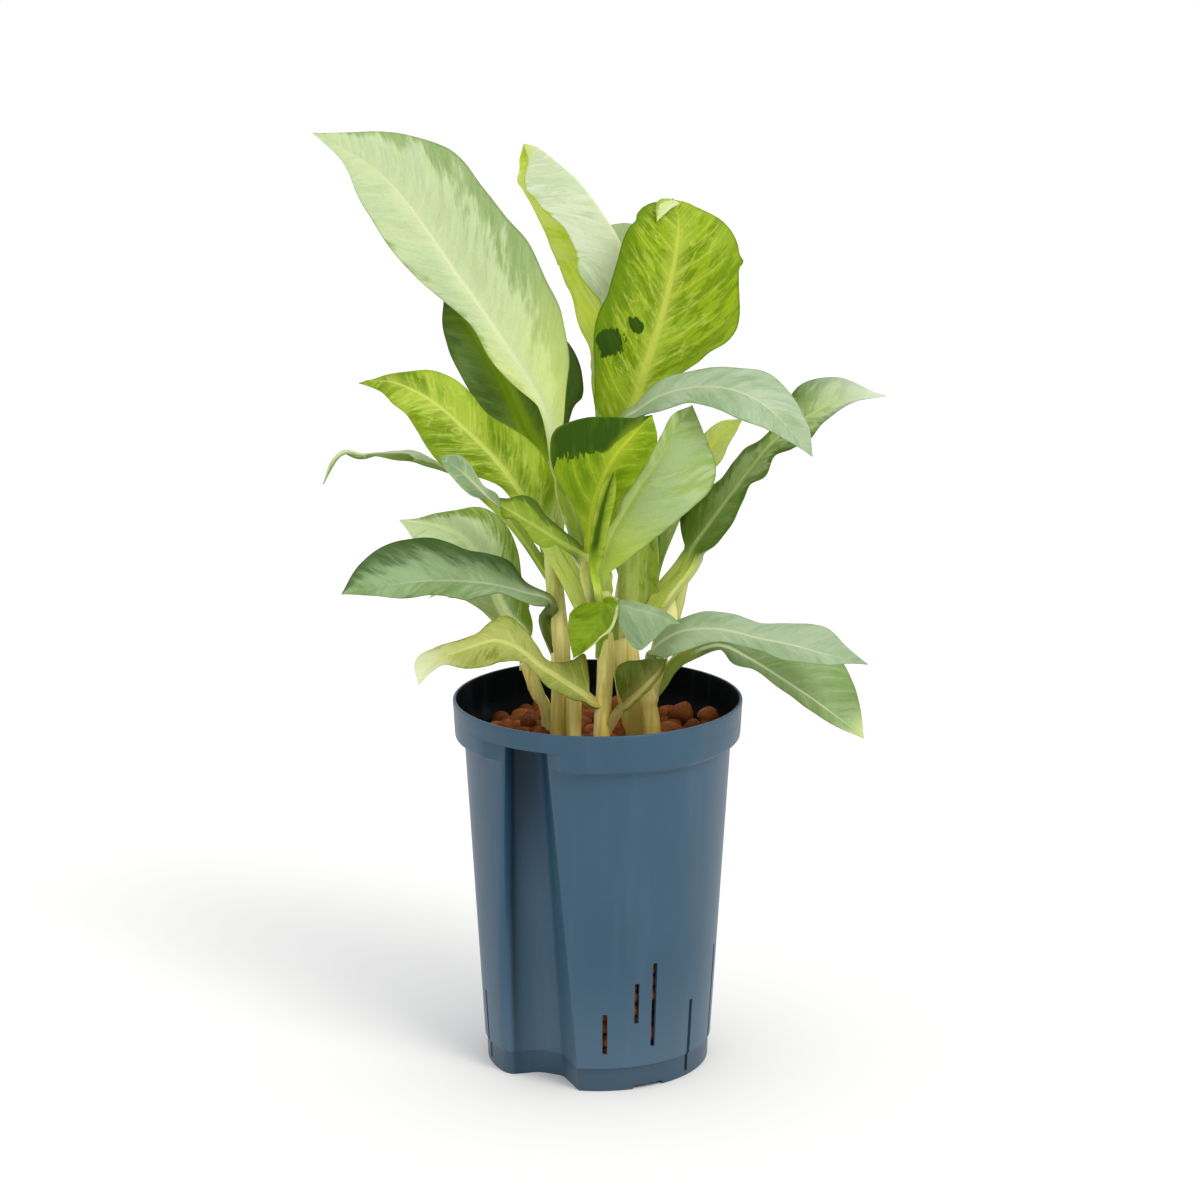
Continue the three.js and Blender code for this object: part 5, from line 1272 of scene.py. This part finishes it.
def potAngles():
    # Angles of the fixed columns, in degrees to the right of the front: every 3 degrees, with a pair at
    # the edges of each slot and at those of each notch.
    base = np.arange(-1.0, 290.0, 3.0)
    edges = []
    for middle, _, _ in potForm["slots"]:
        edges += [middle - potForm["slotHalfAngle"], middle + potForm["slotHalfAngle"]]
        base = base[np.abs(base - middle) > potForm["slotHalfAngle"] + 0.7]
    for middle in potForm["notches"]:
        for hand in (-1, 1):
            at = middle + hand * potForm["notchHalfAngle"]
            base = base[np.abs(base - at) > 0.9]
            edges += [at - 0.3, at + 0.3]
    return np.unique(np.r_[base, edges])


def wallColumns(z, radius, inset, fillets):
    # One closed row of the wall: round from the channel's right edge the long way to its left one, then
    # back through the channel.
    channel = channelColumns(z, radius, inset, fillets)
    first = np.degrees(np.arctan2(channel[0, 0], -channel[0, 1]))
    last = np.degrees(np.arctan2(channel[-1, 0], -channel[-1, 1])) % 360
    fixed = potAngles()
    before = first + (fixed[0] - first) * np.array([0.01, 0.03, 0.3, 0.6, 0.85])
    after = fixed[-1] + (last - fixed[-1]) * np.array([0.2, 0.4, 0.6, 0.735, 0.752, 0.9])
    angle = np.radians(np.r_[before, fixed, after])
    arc = np.stack([radius * np.sin(angle), -radius * np.cos(angle)], 1)
    return np.vstack([arc, channel[::-1]]), len(angle)


def roundColumns(radius, like, arcCount):
    # The same columns on a plain circle: those of the channel are spread evenly over its mouth.
    angle = np.arctan2(like[:, 0], -like[:, 1])
    angle = np.where(np.arange(len(like)) < arcCount, angle, 0)
    first, last = angle[0], angle[arcCount - 1]
    run = np.r_[0, np.cumsum(np.linalg.norm(np.diff(like[arcCount:], axis=0), axis=1))]
    fraction = (run + 0.6) / (run[-1] + 1.2)
    angle[arcCount:] = last + ((first - last) % (2 * np.pi)) * fraction
    return np.stack([radius * np.sin(angle), -radius * np.cos(angle)], 1)


def potWall():
    # Rows from the foot to the rim, an outer and an inner one each. Under the channel's top the wall has
    # the channel, and the rim band stands out of it except over the channel's mouth; above, it is round.
    p = potForm
    ends = sorted({z for _, low, high in p["slots"] for z in (low, high)})
    levels = np.unique(np.r_[0, 0.5, 1.5, 2.6, 6, 9, 11.8, 12.4, 13.0, 14.5, ends, 27, 32, 48, 54,
                             np.arange(76, 172, 8),
                             172.5, 174.6, 175.2, 175.9, 177, 180, 182.5, 184.2, 185])
    outer, inner, heights, innerHeights = [], [], [], []
    bodyHeight = p["bandBottom"] - 3 - p["skirtHeight"]
    for z in levels:
        body = p["bodyFoot"] + (p["bodyTop"] - p["bodyFoot"]) * (z - p["skirtHeight"]) / bodyHeight
        onBody = float(smooth(z, p["skirtHeight"] - 1, p["skirtHeight"]))
        radius = (p["skirt"] - 0.4 + z * 0.035) * (1 - onBody) + body * onBody - 0.5 * (z < 0.3)
        row, arcCount = wallColumns(z, radius, 0, p["outerFillet"])
        band = np.interp(z, p["bandHeights"], [radius, *p["bandRadii"]])
        scale = np.ones(len(row))
        scale[2 : arcCount - 2] = band / radius
        scale[arcCount - 2 : arcCount] = 1 + (band / radius - 1) * np.array([0.96, 0.5])
        outer.append(row * scale[:, None])
        heights.append(np.full(len(row), float(z)))
        depth = p["wall"] + (0.5 if z < p["floorTop"] else 0)
        innerRow, _ = wallColumns(z, radius - depth, p["wall"], p["innerFillet"])
        innerBand = np.interp(z, p["innerBandHeights"], [radius - depth, *p["innerBandRadii"]])
        scale = np.ones(len(row))
        scale[2 : arcCount - 2] = max(innerBand, radius - depth) / (radius - depth) if z > 172 else 1
        inner.append(innerRow * scale[:, None])
        innerHeights.append(np.full(len(row), float(z) if z < 183 else z + p["wall"] * (z - 183) / 2))
    for z, radius, low, narrow in p["rimRows"]:
        outer.append(roundColumns(radius, row, arcCount))
        heights.append(np.full(len(row), z))
        inner.append(roundColumns(narrow, row, arcCount))
        innerHeights.append(np.full(len(row), low))
    outer, inner = np.array(outer), np.array(inner)
    heights, innerHeights = np.array(heights), np.array(innerHeights)
    angle = np.degrees(np.arctan2(outer[0, :, 0], -outer[0, :, 1])) % 360
    lift = np.zeros(len(angle))
    for middle in p["notches"]:
        lift = np.maximum(lift, p["notchHeight"] * (np.abs(angle - middle) < p["notchHalfAngle"]))
    lift[arcCount:] = 0
    heights[:4] = np.maximum(heights[:4], lift)
    innerHeights[:4] = np.maximum(innerHeights[:4], lift)
    gaps = np.zeros((len(outer) - 1, len(angle)), bool)
    column = angle + ((np.roll(angle, -1) - angle + 180) % 360 - 180) / 2
    middleZ = np.r_[(levels[:-1] + levels[1:]) / 2, np.full(len(outer) - len(levels), 999)]
    for middle, low, high in p["slots"]:
        hit = (np.abs(column - middle) < p["slotHalfAngle"]) & (np.arange(len(angle)) < arcCount)
        gaps |= ((middleZ > low) & (middleZ < high))[:, None] & hit[None, :]
    return np.dstack([outer, heights]), np.dstack([inner, innerHeights]), gaps


def shellQuads(rows, columns, gaps):
    # Outer and inner skins without the open cells, joined along both ends and round every opening.
    def at(r, c, skin):
        return skin * rows * columns + r * columns + c % columns

    keep = ~gaps
    r, c = np.nonzero(keep)
    skins = [np.stack([at(r, c, 0), at(r, c + 1, 0), at(r + 1, c + 1, 0), at(r + 1, c, 0)], 1),
             np.stack([at(r, c, 1), at(r + 1, c, 1), at(r + 1, c + 1, 1), at(r, c + 1, 1)], 1)]
    joints = []
    padded = np.vstack([np.zeros(columns, bool), keep, np.zeros(columns, bool)])
    r, c = np.nonzero(padded[1:] & ~padded[:-1])  # solid above, open below
    joints.append(np.stack([at(r, c, 0), at(r, c, 1), at(r, c + 1, 1), at(r, c + 1, 0)], 1))
    r, c = np.nonzero(~padded[1:] & padded[:-1])  # open above, solid below
    joints.append(np.stack([at(r, c, 0), at(r, c + 1, 0), at(r, c + 1, 1), at(r, c, 1)], 1))
    r, c = np.nonzero(keep & ~np.roll(keep, 1, 1))  # open on the left
    joints.append(np.stack([at(r, c, 0), at(r + 1, c, 0), at(r + 1, c, 1), at(r, c, 1)], 1))
    r, c = np.nonzero(keep & ~np.roll(keep, -1, 1))  # open on the right
    joints.append(np.stack([at(r, c + 1, 0), at(r, c + 1, 1), at(r + 1, c + 1, 1), at(r + 1, c + 1, 0)], 1))
    quads = np.vstack(skins + joints)
    paint = np.r_[np.zeros(len(skins[0])), np.ones(len(skins[1])), np.zeros(len(quads) - 2 * len(skins[0]))]
    return quads, paint


def potFloor(inner):
    # The floor follows the wall's inner outline in rings drawn in towards the middle: a hub that stands
    # on the ground, a raised plate round it and a flat top.
    outline = inner[6, :, :2]
    shares = np.array([0.0, 0.24, 0.275, 0.5, 0.6, 0.9, 1.0])
    under = np.array([0.0, 0.0, 4.5, 4.5, 4.5, 4.5, 4.5])
    low = np.dstack([shares[:, None, None] * outline[None], np.broadcast_to(under[:, None],
            (7, len(outline)))])
    high = np.dstack([low[..., :2], np.full(low.shape[:2], float(potForm["floorTop"]))])
    angle = np.degrees(np.arctan2(outline[:, 0], -outline[:, 1])) % 360
    gaps = np.zeros((6, len(outline)), bool)
    for middle in range(30, 330, 60):
        gaps[3] |= np.abs((angle - middle + 180) % 360 - 180) < 6
    return high, low, gaps


def potFinish(name, tint, shade, rough, gloss):
    # Moulded plastic: one slate colour with a faint cloud, painted shade in the channel's crease that makes
    # it darker and less glossy, darker on the skirt, paler low on the body and fine matt grain.
    material, shader = newFinish(name, rough, gloss)
    cloud = noise(objectPlace((14, 14, 9)), 1.0, 4.0, 0.55)
    flow = noise(objectPlace((90, 90, 6)), 1.0, 2.0)
    grain = noise(objectPlace(), 1400.0, 2.0)
    high = parts(objectPlace())[2]
    # the depth mark is painted shade in the channel's crease: it darkens the colour and takes away gloss
    # there
    depth = attribute("depth", "Fac")
    color = layered(blend(step(cloud, 0.35, 0.7), srgb(tint), srgb(shade)), (
        # this layer makes the body paler towards its bottom
        (step(high, 0.075, 0.0), 0.3, (96, 120, 138)), (step(flow, 0.5, 0.75), 0.05, (110, 134, 152)),
        (depth, 0.9, (10, 28, 42)), (step(high, 0.0129, 0.0125), 0.5, (22, 46, 66)),
    ))
    wire(timesPlus(depth, -0.6 * gloss, gloss), shader.inputs["Specular IOR Level"])
    wire(color, shader.inputs["Base Color"])
    relief(shader, timesPlus(cloud, 2.0, grain), 0.12, 0.0004)
    return material


outer, inner, openCells = potWall()
quads, paint = shellQuads(*outer.shape[:2], openCells)
high, low, floorOpen = potFloor(inner)
floorQuads, floorPaint = shellQuads(*high.shape[:2], floorOpen)
points = np.vstack([outer.reshape(-1, 3), inner.reshape(-1, 3), high.reshape(-1, 3), low.reshape(-1, 3)])
quads = np.vstack([quads, floorQuads + outer.size // 3 * 2])
# the inside skin and the floor's top get a near-black finish: painted shade for the deep inside of the pot,
# whose plastic is the same slate as outside
finishes = [potFinish("potSlate", (43, 77, 100), (39, 72, 94), 0.42, 0.4),
            potFinish("potInsidePaintedShade", (3, 7, 11), (2, 5, 8), 0.6, 0.06)]
# painted shade in the channel, how shaded a point of it is: a bell across the crease, all the way down, and
# beside it a shade that fades to the right and downwards; only where the wall lies 1 to 5 mm in from the
# round. The finish reads it as the depth mark.
channelShade = {
    "crease": 34, "spread": (3.5, 5.0), "strength": 0.95, "beside": (3, 35), "rising": (90, 170),
    "sunk": (1.0, 5.0), "taper": 0.06,
}
fromCrease = np.arange(outer.shape[1]) - (outer.shape[1] - channelShade["crease"])
crease = np.exp(-((fromCrease / np.where(fromCrease < 0, *channelShade["spread"])) ** 2))
beside = (fromCrease > 0) * (1 - smooth(fromCrease, *channelShade["beside"]))
beside = beside * smooth(outer[..., 2], *channelShade["rising"])
away = np.hypot(outer[..., 0], outer[..., 1])
sunk = smooth(away[0].max() - away + outer[..., 2] * channelShade["taper"], *channelShade["sunk"])
shades = sunk * (crease * channelShade["strength"] + (1 - crease) * beside)
paintedChannelShade = np.r_[shades.ravel(), np.zeros(len(points) - shades.size)]
pot = makePiece("culturePot", points, quads, finishes, np.r_[paint, 1 - floorPaint],
                marks={"depth": paintedChannelShade}, sharp=34)
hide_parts("pot")
print("pot moulded:", len(quads), "faces")


# ---- clay granules
clay = {
    "top": 174, "sizes": (4.1, 6.3), "pitch": 10.4, "roundness": 0.17, "sides": 4, "seed": 47,
    "layers": (-1.6, -7.5), "shake": (1.9, 1.9, 1.6), "mouthRadius": 66.5, "clear": 0.95,
    "channel": (-24, -34),
    "columnPitch": 7.4, "columnSizes": (3.6, 5.2), "columnSpread": 3.4, "columnFoot": 12,
    "footRadius": 57.2,
    "footHeight": 13, "wallSlope": 0.0597, "wallGap": 0.5, "core": 0.9, "coreDrop": 9,
    "loose": [(58, 15, 180, 6.3), (45, 23, 179, 5.8), (35, 28, 177.5, 4.8), (50, 2, 178, 4.4),
              (-47, 2, 177, 5), (-36, 12, 176.5, 4.8)],
}


def pebbleBall(sides):
    # A ball made from the six faces of a cube, each a square grid pushed out to the sphere.
    a = np.tan(np.linspace(-np.pi / 4, np.pi / 4, sides + 1))
    x, y = np.meshgrid(a, a, indexing="ij")
    one = np.ones_like(x)
    faces = [np.dstack(f) for f in ((one, x, y), (-one, y, x), (y, one, x), (x, -one, y), (x, y, one),
                                    (y, x, -one))]
    n = (sides + 1) ** 2
    quads = np.vstack([gridQuads(sides + 1, sides + 1, k * n) for k in range(6)])
    points = unit(np.vstack([f.reshape(-1, 3) for f in faces]))
    keys, index = np.unique(np.round(points, 5), axis=0, return_inverse=True)
    return keys, index.ravel()[quads]


def pebbles(places, sizes, seed):
    # Every pebble at once: the ball, stretched by its own three factors, dented by three long waves of
    # its own over the surface, and turned at random.
    rng = np.random.default_rng(seed)
    ball, quads = pebbleBall(clay["sides"])
    count = len(places)
    waves = rng.normal(size=(count, 3, 3)) * 1.9
    phases = rng.uniform(0, 6.3, (count, 3))
    dents = np.sin(np.einsum("pwk,nk->pnw", waves, ball) + phases[:, None]).sum(-1)
    radius = sizes[:, None] * (1 + clay["roundness"] / 2 * dents)
    shape = ball[None] * radius[..., None] * rng.uniform(0.84, 1.1, (count, 1, 3))
    turn = np.linalg.qr(rng.normal(size=(count, 3, 3)))[0]
    turn = turn * np.sign(np.linalg.det(turn))[:, None, None]
    points = np.einsum("pij,pnj->pni", turn, shape) + places[:, None]
    faces = (quads[None] + np.arange(count)[:, None, None] * len(ball)).reshape(-1, 4)
    tone = np.repeat(rng.uniform(0, 1, count), len(ball))
    return points.reshape(-1, 3), faces, tone


def granulePlaces():
    # The top: two shaken layers on a triangular grid inside the wall, clear of the channel, and a few
    # loose ones on them. The sides: columns of pebbles pressed to the wall behind every slot.
    rng = np.random.default_rng(clay["seed"])
    k = np.arange(-8, 9)
    row, column = [a.ravel() for a in np.meshgrid(k, k, indexing="ij")]
    layers = []
    for layer, height in enumerate(clay["layers"]):
        x = (column + (row % 2) * 0.5 + layer * 0.5) * clay["pitch"]
        y = row * clay["pitch"] * 0.866 + layer * 4
        place = np.stack([x, y, np.full(len(x), clay["top"] + height)], 1)
        layers.append(place + rng.uniform(-1, 1, place.shape) * clay["shake"])
    places = np.vstack(layers)
    sizes = rng.uniform(*clay["sizes"], len(places))
    outline = inner[-12, :, :2]
    away = np.linalg.norm(places[:, None, :2] - outline[None], axis=-1).min(1)
    inChannel = (places[:, 0] < clay["channel"][0]) & (places[:, 1] < clay["channel"][1])
    inMouth = np.hypot(places[:, 0], places[:, 1]) < clay["mouthRadius"] - sizes
    keep = inMouth & (away > sizes * clay["clear"]) & ~inChannel
    places, sizes = places[keep], sizes[keep]
    sides, sideSizes = [], []
    for middle, low, high in potForm["slots"]:
        z = np.arange(max(low, clay["columnFoot"]) - 2, high + 6, clay["columnPitch"])
        size = rng.uniform(*clay["columnSizes"], len(z))
        wallRadius = clay["footRadius"] + (z - clay["footHeight"]) * clay["wallSlope"]
        angle = np.radians(middle + rng.uniform(-1, 1, len(z)) * clay["columnSpread"])
        radius = wallRadius - size - clay["wallGap"]
        sides.append(np.stack([radius * np.sin(angle), -radius * np.cos(angle), z], 1))
        sideSizes.append(size)
    loose = np.array(clay["loose"], float)
    return np.vstack([places, loose[:, :3], *sides]), np.r_[sizes, loose[:, 3], *sideSizes]


def clayCore():
    # The dark heart under the pebbles: the pot's inner outline drawn in by a tenth, closed flat on top.
    top = clay["top"] - clay["coreDrop"]
    below = [k for k in range(8, inner.shape[0] - 10, 3) if inner[k, 0, 2] < top]
    rows = [inner[k, :, :2] * clay["core"] for k in below]
    rows = np.array([rows[0] * 0, *rows, rows[-1], rows[-1] * 0])
    heights = np.array([inner[below[0], 0, 2], *inner[below, 0, 2], top, top])
    grid = np.dstack([rows, np.broadcast_to(heights[:, None], rows.shape[:2])])
    return grid.reshape(-1, 3), gridQuads(*grid.shape[:2], around=True)


def clayFinish():
    # Fired clay: red brown with a grey or dark skin on some, pits and dust.
    material, shader = newFinish("firedClay", 0.6, 0.15)
    tone = attribute("tone", "Fac")
    place = objectPlace()
    skin = noise(place, 260.0, 4.0, 0.6)
    pits = noise(place, 900.0, 3.0, 0.7)
    color = layered(blend(tone, srgb((100, 52, 14)), srgb((162, 92, 38))), (
        (step(skin, 0.48, 0.62), 0.7, (130, 62, 18)), (step(pits, 0.5, 0.3), 0.6, (46, 27, 16)),
        (step(skin, 0.4, 0.3), 0.5, (150, 108, 70)),
    ))
    wire(color, shader.inputs["Base Color"])
    relief(shader, pits, 0.6, 0.0008)
    return material


places, sizes = granulePlaces()
stonePoints, stoneFaces, tones = pebbles(places, sizes, clay["seed"] + 1)
corePoints, coreFaces = clayCore()
points = np.vstack([stonePoints, corePoints])
quads = np.vstack([stoneFaces, coreFaces + len(stonePoints)])
tones = np.r_[tones, np.zeros(len(corePoints))]
granules = makePiece("clayGranules", points, quads, [clayFinish()], marks={"tone": tones}, sharp=60)
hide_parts("clay_granules")
print("granules poured:", len(places))

sizes = {"cadBox": cadBox, "visualBox": [list(corner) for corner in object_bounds()]}
